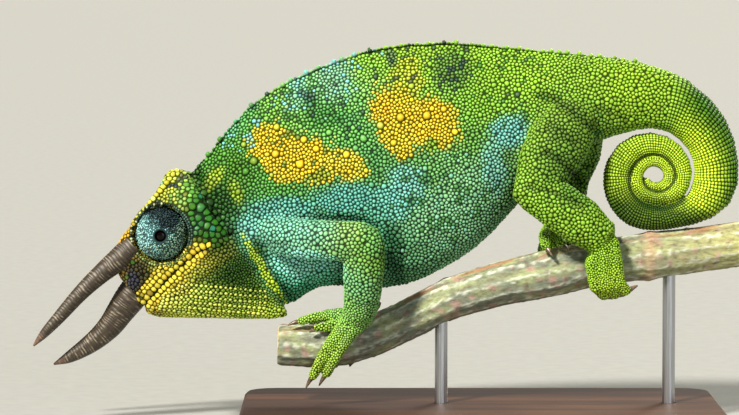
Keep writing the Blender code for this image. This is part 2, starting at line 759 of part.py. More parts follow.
def main():
    clear_scene()
    perch_cutter = branch_and_stand()
    body_and_tail()
    head_cutter, throat_cutter = head_and_face()
    torso_cutter = loft(
        "cut_torso", [torso_ring(at, 12, GAP) for at in spaced(0, len(TORSO) - 1, 0.7)], None
    )
    limbs((torso_cutter, throat_cutter), perch_cutter)
    feet(perch_cutter)


main()
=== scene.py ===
import json
import math

import bmesh
import bpy
import numpy as np
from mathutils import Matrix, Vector, noise
from mathutils.bvhtree import BVHTree
from mathutils.kdtree import KDTree

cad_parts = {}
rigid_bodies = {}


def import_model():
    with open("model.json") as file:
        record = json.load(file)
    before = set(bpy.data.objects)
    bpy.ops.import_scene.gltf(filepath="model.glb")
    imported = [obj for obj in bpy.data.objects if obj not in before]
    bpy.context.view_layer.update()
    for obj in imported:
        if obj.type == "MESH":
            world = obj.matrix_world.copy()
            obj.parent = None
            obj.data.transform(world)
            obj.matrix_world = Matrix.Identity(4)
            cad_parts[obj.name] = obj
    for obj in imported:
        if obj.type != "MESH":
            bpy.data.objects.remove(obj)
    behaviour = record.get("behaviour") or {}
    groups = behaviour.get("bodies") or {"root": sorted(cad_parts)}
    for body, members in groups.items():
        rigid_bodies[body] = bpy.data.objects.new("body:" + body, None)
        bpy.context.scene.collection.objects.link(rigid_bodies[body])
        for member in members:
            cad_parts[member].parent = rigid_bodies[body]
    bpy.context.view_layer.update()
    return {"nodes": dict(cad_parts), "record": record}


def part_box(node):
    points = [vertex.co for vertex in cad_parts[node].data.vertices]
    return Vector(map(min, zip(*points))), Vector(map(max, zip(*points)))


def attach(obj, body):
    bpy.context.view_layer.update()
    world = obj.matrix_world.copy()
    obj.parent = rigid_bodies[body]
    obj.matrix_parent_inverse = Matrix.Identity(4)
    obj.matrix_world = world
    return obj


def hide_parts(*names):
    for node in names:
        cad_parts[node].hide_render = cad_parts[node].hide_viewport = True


for thing in list(bpy.data.objects):
    bpy.data.objects.remove(thing)
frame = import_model()
nodes = frame["nodes"]
slotOf = {row["node"]: row["material_slot"] for row in frame["record"]["subparts"]}
fleshNames = sorted(name for name in nodes if slotOf[name] == "skin")
mm = 0.001  # shapes are worked out in millimetres and stored in metres
rng = np.random.default_rng(7)


def linear(code):
    # an sRGB hex colour in linear light
    parts = [int(code[i : i + 2], 16) / 255 for i in (1, 3, 5)]
    return np.array([c / 12.92 if c <= 0.04045 else ((c + 0.055) / 1.055) ** 2.4 for c in parts])


def numbers(items, key, width, kind=np.float64):
    # one property of many mesh elements, as an array of rows
    flat = np.empty(len(items) * width, dtype=kind)
    items.foreach_get(key, flat)
    return flat.reshape(-1, width)


def newObject(name, data):
    piece = bpy.data.objects.new(name, data)
    bpy.context.scene.collection.objects.link(piece)
    return piece


def evaluated(piece):
    # the mesh as the modifiers leave it
    graph = bpy.context.evaluated_depsgraph_get()
    mesh = bpy.data.meshes.new_from_object(piece.evaluated_get(graph))
    piece.modifiers.clear()
    piece.data = mesh
    return mesh


def fastMesh(name, points, faces):
    # a mesh from points in mm and a list of face blocks, each an array with a row for each face
    mesh = bpy.data.meshes.new(name)
    mesh.vertices.add(len(points))
    mesh.vertices.foreach_set("co", (np.asarray(points) * mm).ravel())
    sizes = np.concatenate([np.full(len(block), block.shape[1]) for block in faces])
    mesh.loops.add(int(sizes.sum()))
    mesh.loops.foreach_set("vertex_index", np.concatenate([block.ravel() for block in faces]))
    mesh.polygons.add(len(sizes))
    mesh.polygons.foreach_set("loop_start", np.concatenate([[0], np.cumsum(sizes)[:-1]]))
    mesh.update(calc_edges=True)
    smoothed(mesh)
    return mesh


def smoothed(mesh):
    mesh.polygons.foreach_set("use_smooth", np.ones(len(mesh.polygons), bool))


def movePoints(mesh, points):
    mesh.vertices.foreach_set("co", (points * mm).ravel())
    mesh.update()


def welded(mesh):
    # a bmesh of a loaded solid, whose triangles have corners of their own until they are joined
    shape = bmesh.new()
    shape.from_mesh(mesh)
    bmesh.ops.remove_doubles(shape, verts=shape.verts, dist=0.001 * mm)
    return shape


def ringWalls(rings, sides):
    # quads between rings of points that follow one another
    ring = np.arange(sides)
    after = (ring + 1) % sides
    wall = np.stack([ring, after, after + sides, ring + sides], axis=1)
    return np.vstack([wall + k * sides for k in range(rings - 1)])


def paint(mesh, name, colours):
    # a colour for each vertex, in linear light
    layer = mesh.color_attributes.new(name, "FLOAT_COLOR", "POINT")
    layer.data.foreach_set("color", np.column_stack([colours, np.ones(len(colours))]).ravel())


def unit(rows):
    return rows / np.linalg.norm(rows, axis=-1, keepdims=True).clip(1e-9)


def mix(one, other, share):
    share = np.asarray(share)[..., None]
    return one * (1 - share) + other * share


def ramp(values, low, high):
    share = ((values - low) / (high - low)).clip(0, 1)
    return share * share * (3 - 2 * share)


def roughness(points, size, seed=0.0):
    # soft noise of about -1 to 1, for lumps of the given size in mm
    shift = Vector((seed, seed * 1.7, seed * 0.6))
    return np.array([noise.noise(Vector(p) / size + shift) for p in points])


def neighbourMean(values, edges, rounds, share=0.5):
    # each value drawn towards the mean of the values next to it
    count = len(values)
    a, b = edges[:, 0], edges[:, 1]
    degree = np.bincount(edges.ravel(), minlength=count).clip(1)[:, None]
    for _ in range(rounds):
        total = np.empty_like(values)
        for k in range(values.shape[1]):
            column = values[:, k]
            total[:, k] = np.bincount(a, column[b], count) + np.bincount(b, column[a], count)
        values = values + (total / degree - values) * share
    return values


def searchTree(points):
    tree = KDTree(len(points))
    for i, point in enumerate(points):
        tree.insert(point, i)
    tree.balance()
    return tree


def runAlong(points):
    # the length of a line up to each of its points
    return np.concatenate([[0], np.cumsum(np.linalg.norm(np.diff(points, axis=0), axis=1))])


def alongLine(x, z, line):
    # distance from a line of (x, z) points, and the share of the way along it
    best = np.full(len(x), 1e9)
    place = np.zeros(len(x))
    steps = np.array(line)
    lengths = np.linalg.norm(np.diff(steps, axis=0), axis=1)
    reached = np.concatenate([[0], np.cumsum(lengths)])
    for (x0, z0), (x1, z1), length, start in zip(line, line[1:], lengths, reached):
        t = (((x - x0) * (x1 - x0) + (z - z0) * (z1 - z0)) / length**2).clip(0, 1)
        distance = np.hypot(x - x0 - t * (x1 - x0), z - z0 - t * (z1 - z0))
        closer = distance < best
        best[closer] = distance[closer]
        place[closer] = (start + t[closer] * length) / reached[-1]
    return best, place


# one skin over all the flesh, in mm

skinForm = {
    "coat": 0.34,  # how deep the skin lies in the solids, under the scales
    "thinCoat": {"toes": 0.24, "turn": 0.06},  # the same on the toes and on the coil's turns
    "reach": 0.42,  # faces of flesh this close to each other meet without a seam
    "mouthReach": 1.6,  # and these close the mouth, and the coil's turns against each other
    "turnReach": 0.9,
    "lap": 0.08,  # how far solids that meet reach into each other
    "voxel": 0.44,  # size of the cells that join them
    "rounds": 12,  # of smoothing
    "faces": 96000,  # asked of the finished skin, which the scales cover
}


def coatDepth(name):
    depths = [depth for word, depth in skinForm["thinCoat"].items() if word in name]
    return depths[0] if depths else skinForm["coat"]


def nearNodes(one, other):
    (low, high), (low2, high2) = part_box(one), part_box(other)
    return all(low[k] - mm < high2[k] and low2[k] - mm < high[k] for k in range(3))


def distanceToFlesh(face, others):
    # how far a face is from another solid of flesh, or 0 where most of it is too far away
    middle = face.calc_center_median()
    starts = [middle] + [middle.lerp(vert.co, 0.6) for vert in face.verts]
    found = []
    for start in starts:
        start = start + face.normal * 0.02 * mm
        hits = [tree.ray_cast(start, face.normal, reach * mm)[3] for tree, reach in others]
        found += [min(hit for hit in hits if hit) / mm] if any(hits) else []
    return sum(found) / len(found) if len(found) * 2 > len(starts) else 0.0


def meetingReach(one, other):
    if {one, other} == {"head", "lower_jaw"}:
        return skinForm["mouthReach"]
    return skinForm["turnReach"] if "turn" in one and "turn" in other else skinForm["reach"]


def joinedFlesh():
    # the solids drawn in by the coat's depth, and lapped where they meet along a thin cut
    shapes, trees = {}, {}
    for name in fleshNames:
        shapes[name] = welded(nodes[name].data)
        shapes[name].normal_update()
        trees[name] = BVHTree.FromBMesh(shapes[name])
    whole = bmesh.new()
    for name, shape in shapes.items():
        others = [
            (trees[other], meetingReach(name, other))
            for other in fleshNames if other != name and nearNodes(name, other)
        ]
        meeting = {face: distanceToFlesh(face, others) for face in shape.faces}
        moves = []
        for vert in shape.verts:
            cut = sum((face.normal for face in vert.link_faces if meeting[face]), Vector())
            side = sum((face.normal for face in vert.link_faces if not meeting[face]), Vector())
            lap = max(meeting[face] for face in vert.link_faces) / 2 + skinForm["lap"]
            cut.normalize()
            side = (side - cut * side.dot(cut)).normalized()
            moves.append((cut * lap - side * coatDepth(name)) * mm)
        for vert, move in zip(shape.verts, moves):
            vert.co += move
        mesh = bpy.data.meshes.new("drawn")
        shape.to_mesh(mesh)
        whole.from_mesh(mesh)
        shape.free()
        bpy.data.meshes.remove(mesh)
    joined = bpy.data.meshes.new("flesh")
    whole.to_mesh(joined)
    whole.free()
    return joined


def keepLargestIsland(mesh):
    # drops the crumbs that a hollow between two solids can leave
    shape = bmesh.new()
    shape.from_mesh(mesh)
    unseen = set(shape.verts)
    islands = []
    while unseen:
        stack = [unseen.pop()]
        island = list(stack)
        while stack:
            for edge in stack.pop().link_edges:
                for vert in edge.verts:
                    if vert in unseen:
                        unseen.discard(vert)
                        stack.append(vert)
                        island.append(vert)
        islands.append(island)
    islands.sort(key=len)
    print("skin islands", [len(island) for island in islands][-5:])
    for island in islands[:-1]:
        bmesh.ops.delete(shape, geom=island, context="VERTS")
    shape.to_mesh(mesh)
    shape.free()


skin = newObject("skin", joinedFlesh())
remesh = skin.modifiers.new("remesh", "REMESH")
remesh.mode = "VOXEL"
remesh.voxel_size = skinForm["voxel"] * mm
keepLargestIsland(evaluated(skin))
skinPoints = numbers(skin.data.vertices, "co", 3) / mm
skinEdges = numbers(skin.data.edges, "vertices", 2, np.int64)
for _ in range(skinForm["rounds"]):  # evens out the steps, then pushes back to keep the form
    skinPoints = neighbourMean(skinPoints, skinEdges, 1, 0.5)
    skinPoints = neighbourMean(skinPoints, skinEdges, 1, -0.53)
print("skin joined:", len(skinPoints), "points")


def nearestNodes(points, names):
    # which of the named nodes each point is nearest to
    corners, faces, owner = [], [], []
    for k, name in enumerate(names):
        mesh = nodes[name].data
        faces += [[len(corners) + i for i in face.vertices] for face in mesh.polygons]
        corners += [vert.co / mm for vert in mesh.vertices]
        owner += [k] * len(mesh.polygons)
    tree = BVHTree.FromPolygons(corners, faces)
    return np.array([owner[tree.find_nearest(point)[2]] for point in points])


skinNode = nearestNodes(skinPoints, fleshNames)


def inNodes(owners, *words):
    chosen = [k for k, name in enumerate(fleshNames) if any(word in name for word in words)]
    return np.isin(owners, chosen)


# folds and ridges: (x, z) along each, depth in mm (less than 0 for a ridge), width, nodes

mouthLine = [
    (-88.0, 24.0), (-84.8, 28.7), (-83.6, 30.6), (-81.3, 33.3), (-78.6, 36.2), (-75.1, 39.7), (-73.3, 41.3),
    (-70.8, 43.3), (-68.9, 44.3), (-66.5, 44.9),
]
folds = {
    "mouth": (mouthLine, 0.6, 0.36, ("head", "lower_jaw", "throat")),
    "neck": ([(-74.0, 65.5), (-68.7, 57.8), (-63.8, 51.1), (-58.8, 45.4)], 1.3, 1.5, ("neck", "head")),
    "pouch": ([(-58.6, 47.1), (-56.1, 42.1), (-52.6, 36.7), (-49.4, 32.2)], -0.7, 1.3, ("throat",)),
    "chin": ([(-79.0, 30.0), (-72.0, 34.5), (-64.0, 41.0)], 0.4, 0.9, ("throat", "lower_jaw")),
    "casque side": ([(-75.5, 64.0), (-72.5, 61.4), (-69.5, 57.5), (-66.5, 53.5)], -0.5, 1.1, ("head",)),
    "brow": ([(-88.0, 49.0), (-84.5, 53.6), (-80.5, 57.4), (-77.6, 62.0)], -0.5, 0.9, ("head",)),
    "temple": ([(-72.0, 55.0), (-69.5, 49.5)], 0.5, 2.6, ("head",)),
    "under eye": ([(-84.0, 41.6), (-80.0, 40.0), (-75.5, 41.0), (-72.0, 44.0)], -0.3, 0.6, ("head",)),
    "shoulder": ([(-58.0, 44.0), (-52.0, 46.0), (-46.0, 45.0)], 0.4, 1.0, ("upper_arm", "trunk")),
    "knee": ([(14.0, 70.0), (19.0, 66.5), (23.5, 62.0), (26.5, 58.0)], 0.95, 1.2, ("thigh", "shank")),
    "knee low": ([(9.0, 60.4), (15.0, 59.4), (21.0, 57.4), (26.0, 54.4)], 0.5, 0.8, ("thigh", "shank")),
    "knee back": ([(20.0, 68.6), (24.0, 65.6), (27.5, 63.6)], 0.45, 0.5, ("thigh", "shank")),
    "knee back low": ([(18.5, 62.6), (23.0, 60.6), (27.5, 59.4)], 0.45, 0.5, ("thigh", "shank")),
    "hip": (
        [(12.0, 83.0), (19.0, 81.0), (24.0, 77.0), (29.0, 72.5)], 0.75, 1.4,
        ("thigh", "tail_root", "trunk"),
    ),
    "thigh hollow": ([(15.0, 75.5), (20.0, 72.5), (25.0, 70.0)], 0.85, 2.4, ("thigh",)),
    "tail foot": ([(27.0, 79.5), (32.0, 78.0), (37.0, 75.5)], 0.45, 0.8, ("tail_root",)),
    "arm top": ([(-47.0, 52.4), (-38.0, 52.0), (-30.0, 51.7), (-24.0, 49.0)], 0.7, 0.8, ("trunk",)),
    "groin": ([(3.0, 56.0), (4.5, 62.0), (7.5, 70.0), (12.0, 78.0)], 0.4, 1.4, ("trunk",)),
}


def foldBands(points, owners):
    # for each fold: depth, width, the fade at its ends and to its sides, and the points it can touch
    fade = 0.12  # share of a fold's length, at each end
    for line, deep, wide, words in folds.values():
        distance, place = alongLine(points[:, 0], points[:, 2], line)
        ends = ramp(place, 0.0, fade) * ramp(1 - place, 0.0, fade)
        yield deep, wide, ends, np.exp(-((distance / wide) ** 2)), inNodes(owners, *words)


def foldDepth(points, owners):
    # how far the folds draw each point in, which they don't do along the animal's middle
    depth = np.zeros(len(points))
    for deep, _, ends, fall, here in foldBands(points, owners):
        onSide = here & (np.abs(points[:, 1]) > 1.0)
        depth += np.where(onSide, deep * ends * fall, 0.0)
    return depth


def creaseShade(points, owners):
    # how much painted shade darkens the hollow of a fold; shallow folds and ridges have none
    shade = np.zeros(len(points))
    for deep, wide, ends, fall, here in foldBands(points, owners):
        if deep > 0.35:
            dark = ends * fall * min(deep, 0.8) * min(1.0, 0.8 / wide + 0.2)
            shade = np.maximum(shade, np.where(here, dark, 0.0))
    return shade


def throatPleats(points, owners):
    # soft pleats in the skin of the throat, along the jaw
    x, z = points[:, 0], points[:, 2]
    across = (z - 40.0) * math.cos(0.35) - (x + 62.0) * math.sin(0.35)
    zone = np.exp(-(((x + 62.5) / 6.5) ** 2) - ((z - 38.5) / 5.5) ** 2)
    return np.where(inNodes(owners, "throat"), 0.2 * zone * np.sin(across * math.tau / 1.5), 0.0)


movePoints(skin.data, skinPoints)
normals = unit(neighbourMean(numbers(skin.data.vertices, "normal", 3), skinEdges, 4))
lumps = roughness(skinPoints, 9.0) * 0.22 + roughness(skinPoints, 3.5, 4.0) * 0.08
lumps *= np.where(inNodes(skinNode, "toes", "turn"), 0.2, 1.0)
skinPoints += normals * (lumps - foldDepth(skinPoints, skinNode))[:, None]
skinPoints += normals * throatPleats(skinPoints, skinNode)[:, None]
movePoints(skin.data, skinPoints)
skinNormals = unit(neighbourMean(numbers(skin.data.vertices, "normal", 3), skinEdges, 5))
skin.data.calc_loop_triangles()
skinFaces = numbers(skin.data.loop_triangles, "vertices", 3, np.int64)
skinTree = BVHTree.FromPolygons(skinPoints.tolist(), skinFaces.tolist())
print("skin shaped")


# colours: washes are soft areas of ground colour at (x, z), and marks lie over them

washes = {
    "trunk": [
        (-66, 69, "#589A38"), (-60, 76, "#5EA85A"), (-50, 80, "#86C254"), (-44, 87, "#84C27C"),
        (-36, 88, "#83C08A"), (-30, 91, "#90C844"), (-20, 92, "#9CCB3A"), (-8, 92, "#93C63A"),
        (4, 88, "#97CB3A"), (12, 88, "#9ACC3A"), (27, 86, "#90BE38"), (36, 84, "#9CC831"),
        (25, 76, "#76A038"), (0, 80, "#84BC3A"), (-3, 72, "#74B24E"), (-15, 64, "#70B060"),
        (-2, 62, "#88C48C"), (-12, 52, "#8CC896"), (-4, 54, "#8AC896"), (-18, 42, "#68A672"),
        (-45, 42, "#58C49C"), (-55, 50, "#5EA884"), (-35, 36, "#3A7240"), (-30, 48, "#52A080"),
        (-36, 76, "#6FBA58"), (-29, 66, "#62A85C"), (-54, 72, "#74B83E"), (-61, 64, "#4E8424"),
        (-64, 57, "#2E5C1A"), (2, 52, "#6CA272"), (11, 60, "#5C8E50"), (-52, 60, "#5EA848"),
    ],
    "head": [
        (-76, 63, "#D2D84C"), (-72, 60, "#86CB62"), (-69, 55, "#276618"), (-68, 50, "#1C5014"),
        (-72, 48, "#245C18"), (-67, 46, "#285418"), (-80, 58, "#B4BC42"), (-84, 53, "#7C8634"),
        (-88, 48, "#D4B030"), (-90, 44, "#C89A2C"), (-87, 40, "#5A5630"), (-86, 35, "#4A4838"),
        (-82, 40, "#8E9034"), (-79, 39, "#C2C04A"), (-84, 31, "#B4A94A"), (-77, 37, "#E2D24E"),
        (-72, 43, "#DCC440"), (-70, 38, "#9CAC3E"), (-80, 31, "#DCCE50"), (-89, 33, "#8E7A38"),
    ],
    "throat": [
        (-82, 28, "#E6E458"), (-74, 27, "#ECFF62"), (-66, 26, "#ECFF5C"), (-56, 26, "#DCFA58"),
        (-76, 33, "#B4C44E"), (-70, 32, "#A8C64A"), (-62, 31, "#90B63E"), (-68, 38, "#38641A"),
        (-62, 38, "#264E12"), (-60, 43, "#234A14"), (-57, 35, "#3C6C1C"), (-52, 37, "#A4C848"),
    ],
    "arm": [
        (-54, 50, "#7CC4A4"), (-47, 51, "#86C8A6"), (-40, 52, "#8CC89A"), (-33, 51, "#96C474"),
        (-27, 48, "#84B43C"), (-26, 42, "#78AC44"), (-31, 36, "#86C682"), (-36, 30, "#92CA66"),
        (-40, 24, "#A6D04E"), (-44, 16, "#B2D44C"),
    ],
    "leg": [
        (16, 78, "#7CA43A"), (10, 72, "#88B43C"), (6, 64, "#8CB83E"), (18, 66, "#6C9834"),
        (24, 60, "#6A9A34"), (12, 56, "#90C03C"), (22, 50, "#98C83C"), (28, 42, "#A0D03C"),
        (32, 34, "#B2D63E"), (36, 28, "#B8D640"),
    ],
    "tail": [(40, 84, "#A6D036"), (60, 80, "#7CAC28"), (72, 60, "#70A426"), (43, 61, "#CCEE40")],
}
washOf = {  # the words of a node's name that put it in a wash
    "head": ("head", "jaw"),
    "throat": ("throat",),
    "arm": ("arm", "hand"),
    "leg": ("thigh", "shank", "foot"),
    "tail": ("tail_arch", "turn"),
    "trunk": ("trunk", "neck", "tail_root"),
}
washBlur = 24  # rounds of mixing on the skin, so that no wash ends at a cut between the solids

# marks: x, z, half length, half height, turn in degrees, colour, strength
marks = {
    "yellow shoulder": [
        (-51.6, 69.8, 6.3, 5.4, -25, "#E6C82C", 1.0), (-43.5, 66.5, 9.0, 5.4, -16, "#E6C92C", 1.0),
        (-34.0, 65.4, 5.6, 4.0, -20, "#E0CE3A", 1.0), (-49.2, 63.4, 3.2, 3.0, 0, "#DCC430", 0.9),
    ],
    "yellow flank": [
        (-22.0, 77.5, 5.6, 7.6, 14, "#E2C42E", 1.0), (-14.0, 75.6, 8.2, 6.2, -28, "#E4C62C", 1.0),
        (-20.5, 71.0, 3.8, 5.0, 20, "#DCC832", 1.0), (-18.5, 85.5, 4.2, 6.0, -10, "#C8C832", 0.55),
    ],
    "green eyes of the yellow": [
        (-12.6, 70.2, 1.8, 1.8, 0, "#6FAE3A", 0.8), (-40.5, 62.8, 3.2, 1.2, 10, "#6C9E34", 0.7),
    ],
    "turquoise": [
        (-49.0, 54.6, 8.2, 2.9, 2, "#6CB8AE", 0.8), (-33.5, 57.0, 8.6, 3.7, 6, "#6CC0B4", 0.8),
        (-22.0, 56.0, 7.0, 4.6, 16, "#78CABC", 0.85), (-18.5, 61.6, 5.0, 3.8, -20, "#84D0C4", 0.8),
        (6.6, 73.4, 5.2, 4.4, 20, "#78C6C8", 0.75), (2.6, 64.5, 3.0, 7.0, 8, "#84CABC", 0.75),
        (-62.6, 74.6, 2.2, 4.2, -28, "#74C4B0", 0.3), (-46.0, 82.6, 2.6, 4.4, -12, "#82D0DC", 0.3),
        (-36.8, 86.0, 3.6, 6.6, -6, "#86B8B4", 0.3), (-58.0, 49.5, 2.6, 3.6, 0, "#84D2C8", 0.7),
        (-47.0, 50.5, 9.0, 3.8, 0, "#7CC6AC", 0.45), (-26.0, 50.0, 3.6, 7.0, -10, "#5CB888", 0.35),
    ],
    # painted shadow of the foreleg on the flank, and painted shade below the arm
    "painted shadow by the arms": [(-21.8, 43.0, 2.6, 8.0, 10, "#1E5A34", 0.8), (-49.0, 33.0, 2.4, 2.6, 20, "#14401E", 0.6)],
    "edge of the throat": [(-53.8, 38.6, 9.4, 1.25, -59, "#C2E23C", 0.95)],
    "behind the edge": [(-51.9, 38.4, 8.6, 0.7, -60, "#1B4818", 0.7)],
    "dark back": [
        (-42.8, 81.6, 2.2, 1.8, 0, "#23414A", 0.8), (-22.6, 91.6, 1.6, 2.4, 0, "#2A4650", 0.7),
        (-7.2, 88.6, 5.0, 5.4, 20, "#2E5A3C", 0.6), (-33.5, 76.4, 3.6, 2.2, 0, "#3E7A50", 0.5),
        (-40.5, 78.0, 5.0, 3.0, -20, "#2F7A34", 0.6), (-57.0, 80.6, 1.8, 2.6, 0, "#2C4E58", 0.5),
    ],
    "snout": [
        (-85.6, 38.8, 3.2, 3.2, 0, "#3A3420", 0.9), (-86.0, 33.2, 2.2, 4.6, 0, "#2E2A1E", 0.92),
        (-87.0, 36.4, 1.8, 2.4, 0, "#3E4054", 0.75),
    ],
    "nostril side": [
        (-90.2, 37.4, 1.6, 2.4, 0, "#C8A23A", 0.7), (-88.6, 46.4, 2.2, 2.8, 20, "#DCAE2A", 0.8),
    ],
    "corner of the mouth": [(-72.8, 42.8, 2.4, 1.1, 40, "#E4B83A", 0.8)],
    "turquoise cheek": [(-70.2, 51.5, 0.9, 3.2, -12, "#3C9878", 0.5)],
    "neck": [(-66.6, 61.6, 1.8, 3.4, -40, "#B4CC34", 0.65), (-61.0, 58.5, 1.6, 3.4, 20, "#A8C836", 0.6)],
    "nape": [(-70.5, 62.5, 1.4, 3.6, 34, "#164A10", 0.7), (-64.2, 56.4, 1.6, 5.0, 38, "#1C4E12", 0.6)],
    "chest": [(-43.5, 40.0, 9.0, 4.6, -10, "#A6FFE4", 1.0), (-40.5, 36.4, 5.0, 2.6, 10, "#46BC90", 0.5)],
    "throat zone": [
        (-61.5, 38.5, 6.5, 3.6, 22, "#2A5012", 0.75), (-55.2, 44.6, 1.6, 3.6, 30, "#1E4A14", 0.7),
    ],
}
scatters = {  # single scales of another colour: (x, z), reach in mm, share of them, colour
    "ink": [(-48, 82, 7, 0.1), (-22, 90, 9, 0.1), (-7, 89, 8, 0.2), (-36, 78, 7, 0.1), (12, 88, 9, 0.05)],
    "pale": [(-40, 84, 9, 0.1), (-60, 74, 6, 0.08), (-8, 58, 12, 0.08), (-12, 46, 10, 0.12)],
    "blue": [
        (-46, 83, 7, 0.16), (-37, 87, 7, 0.2), (-61, 74, 7, 0.14), (-54, 79, 6, 0.14), (-28, 91, 5, 0.1),
    ],
    "dark green": [(-10, 58, 14, 0.3), (24, 68, 12, 0.3), (-44, 76, 12, 0.25), (10, 84, 14, 0.12)],
}
faceScatters = {  # the same on the head
    "ink": [(-84, 54, 4.5, 0.5), (-79, 59, 4, 0.4), (-88, 50, 3, 0.35), (-76, 61, 3, 0.2)],
    "pale": [(-84, 54, 4.5, 0.25), (-78, 61, 3, 0.15)],
    "blue": [(-71, 50, 3, 0.15)],
    "dark green": [(-68, 52, 6, 0.3), (-75, 55, 4, 0.25)],
}
scatterColour = {"ink": "#1C2F42", "pale": "#82C6A4", "blue": "#7CC8C8", "dark green": "#3E7A34"}


def washColours():
    # ground colour of every point of the skin
    colours = np.zeros((len(skinPoints), 3))
    for wash, words in washOf.items():
        here = inNodes(skinNode, *words)
        x, z = skinPoints[here, 0], skinPoints[here, 2]
        total, weights = np.zeros((len(x), 3)), np.zeros(len(x))
        for x0, z0, code in washes[wash]:
            weight = 1 / ((x - x0) ** 2 + (z - z0) ** 2 + 4.0) ** 1.6
            total += weight[:, None] * linear(code)
            weights += weight
        colours[here] = total / weights[:, None]
    return neighbourMean(colours, skinEdges, washBlur)


coil = {  # the tail's spiral, in mm: angle from +X downwards, outer edge
    "centre": (43.0, 61.7),
    "rows": [
        (-100, 29.0), (-75, 26.2), (-45, 23.5), (-15, 21.9), (15, 20.7), (30, 18.6), (45, 16.0),
        (65, 13.9), (90, 13.2), (120, 13.4), (180, 12.5), (225, 12.0), (270, 11.0), (315, 10.2),
        (360, 9.5), (405, 8.5), (450, 7.3), (540, 5.8), (630, 5.5), (720, 5.0), (765, 4.0),
        (810, 3.1), (900, 2.2),
    ],
    "tipThick": [(540, 3.1), (630, 2.8), (720, 2.5), (810, 1.9), (900, 0.9)],
    "start": -78,  # where the rings of scales begin
    "end": 888,
    "step": 0.86,  # between one ring and the next, along the middle of the tail
}


def coilEdges(angle):
    # outer and inner edge of the tail there, from the coil's centre
    outer = np.interp(angle, *zip(*coil["rows"]))
    if angle <= 540:
        return outer, np.interp(angle + 360, *zip(*coil["rows"])) + 0.5
    return outer, outer - np.interp(angle, *zip(*coil["tipThick"]))


def acrossTurn(points):
    # 0 on the middle of the tail and 1 at its inner and outer edge, seen from the side
    x, z = points[:, 0] - coil["centre"][0], coil["centre"][1] - points[:, 2]
    reach, angle = np.hypot(x, z), np.degrees(np.arctan2(z, x)) % 360
    best = np.full(len(points), 9.0)
    for turns in (0, 360, 720):
        for k in np.flatnonzero(angle + turns < coil["end"]):
            outer, inner = coilEdges(angle[k] + turns)
            best[k] = min(best[k], abs(reach[k] - (outer + inner) / 2) * 2 / max(outer - inner, 0.5))
    return best


def tailColours(points, colours, owners):
    # brighter on the inner side of the bend, darker green along the back edge and on the side of the turns
    # towards the head, with painted shade along the edges of the turns and under the coil
    x, z = points[:, 0] - coil["centre"][0], points[:, 2] - coil["centre"][1]
    reach = np.hypot(x, z)
    bend = inNodes(owners, "tail_arch")
    along = ramp(x, 3.0, 12.0)
    inner = np.where(bend, 0.95 * along * ramp(-reach, -21.0, -13.0), 0)
    outer = np.where(bend | inNodes(owners, "tail_root"), 0.88 * along * ramp(reach, 13.5, 24.0), 0)
    colours = mix(colours, linear("#D2F03C"), inner)
    colours = mix(colours, linear("#2E6A12"), outer)
    turns = inNodes(owners, "turn")
    # painted shade in the crevices where the turns lie against each other
    edge = np.zeros(len(points))
    edge[turns] = ramp(acrossTurn(points[turns]), 0.74, 1.0)
    colours = mix(colours, linear("#123206"), edge * 0.85)
    colours = mix(colours, linear("#4A7C1C"), np.where(turns, 0.4 * ramp(-x, 4.0, 10.0), 0))
    # painted shade on the lower part of the coil and of the bend
    under = np.where(turns | bend, 0.88 * ramp(-z - 0.4 * x.clip(0), 0.5, 7.5), 0)
    return mix(colours, linear("#1E480E"), under)


def markColours(points, colours, owners, grain, speckle=True):
    # the marks, with ragged edges that follow single scales where each has its own grain
    body = ~inNodes(owners, "leg", "thigh", "shank", "toes", "arch", "turn", "hand", "foot")
    colours = tailColours(points, colours, owners)
    # painted shade in the hollows of the folds
    colours = mix(colours, linear("#0C2410"), creaseShade(points, owners))
    ragged = roughness(points, 2.6, 8.0) * 0.26
    for label, group in marks.items():
        sharp = 1.0 if "yellow" in label or "edge" in label else 0.35
        for x0, z0, long, high, turn, code, strength in group:
            c, s = math.cos(math.radians(turn)), math.sin(math.radians(turn))
            x, z = points[:, 0] - x0, points[:, 2] - z0
            reach = np.hypot((x * c + z * s) / long, (z * c - x * s) / high)
            edge = reach + (ragged + grain * 0.12) * (0.4 + 0.6 * sharp)
            near = 1 - ramp(edge, 0.45 + 0.33 * sharp, 1.4 - 0.22 * sharp)
            colours = mix(colours, linear(code), np.where(body, near * strength, 0))
    if speckle:
        for name in scatterColour:
            for x0, z0, size, share in scatters[name] + faceScatters[name]:
                reach = np.hypot(points[:, 0] - x0, points[:, 2] - z0) / size
                patchy = ramp(roughness(points, 3.2, len(name)), -0.1, 0.35)
                chance = share * (1 - ramp(reach, 0.6, 1.1)) * patchy * 2
                struck = body & (rng.random(len(points)) < chance)
                colours[struck] = mix(colours[struck], linear(scatterColour[name]), 0.8)
    return colours


# scales: their places, in order from the largest, each with its own size

scaleForm = {  # spacing of the scales on each part in mm, and height against half their width
    "head": (0.86, 0.42), "lower_jaw": (0.8, 0.5), "throat": (0.7, 0.6), "neck": (0.8, 0.6),
    "trunk": (0.82, 0.64), "tail_root": (0.88, 0.6), "upper_arm": (0.92, 0.6), "forearm": (0.86, 0.6),
    "thigh": (0.88, 0.6), "shank": (0.86, 0.6), "toes": (0.56, 0.6), "tail": (0.95, 0.7),
}
sizeSpots = [  # (x, z), reach in mm and spacing, where scales are larger or smaller
    (-69.6, 54.5, 4.2, 1.85), (-68.0, 49.8, 4.6, 1.85), (-73.5, 60.0, 3.6, 1.15), (-62.5, 39.0, 6.0, 0.55),
    (-57.5, 41.5, 3.0, 0.55), (-86.5, 36.0, 4.0, 1.0), (-88.5, 46.5, 3.0, 0.9), (-67.0, 30.5, 7.0, 0.95),
    (-79.5, 47.5, 8.6, 0.66), (-62.0, 58.0, 4.5, 0.9), (-40.0, 40.0, 6.0, 0.85), (-62.0, 26.8, 8.0, 0.66),
    (-20.0, 44.0, 7.0, 0.95), (20.0, 60.0, 5.0, 0.85),
]
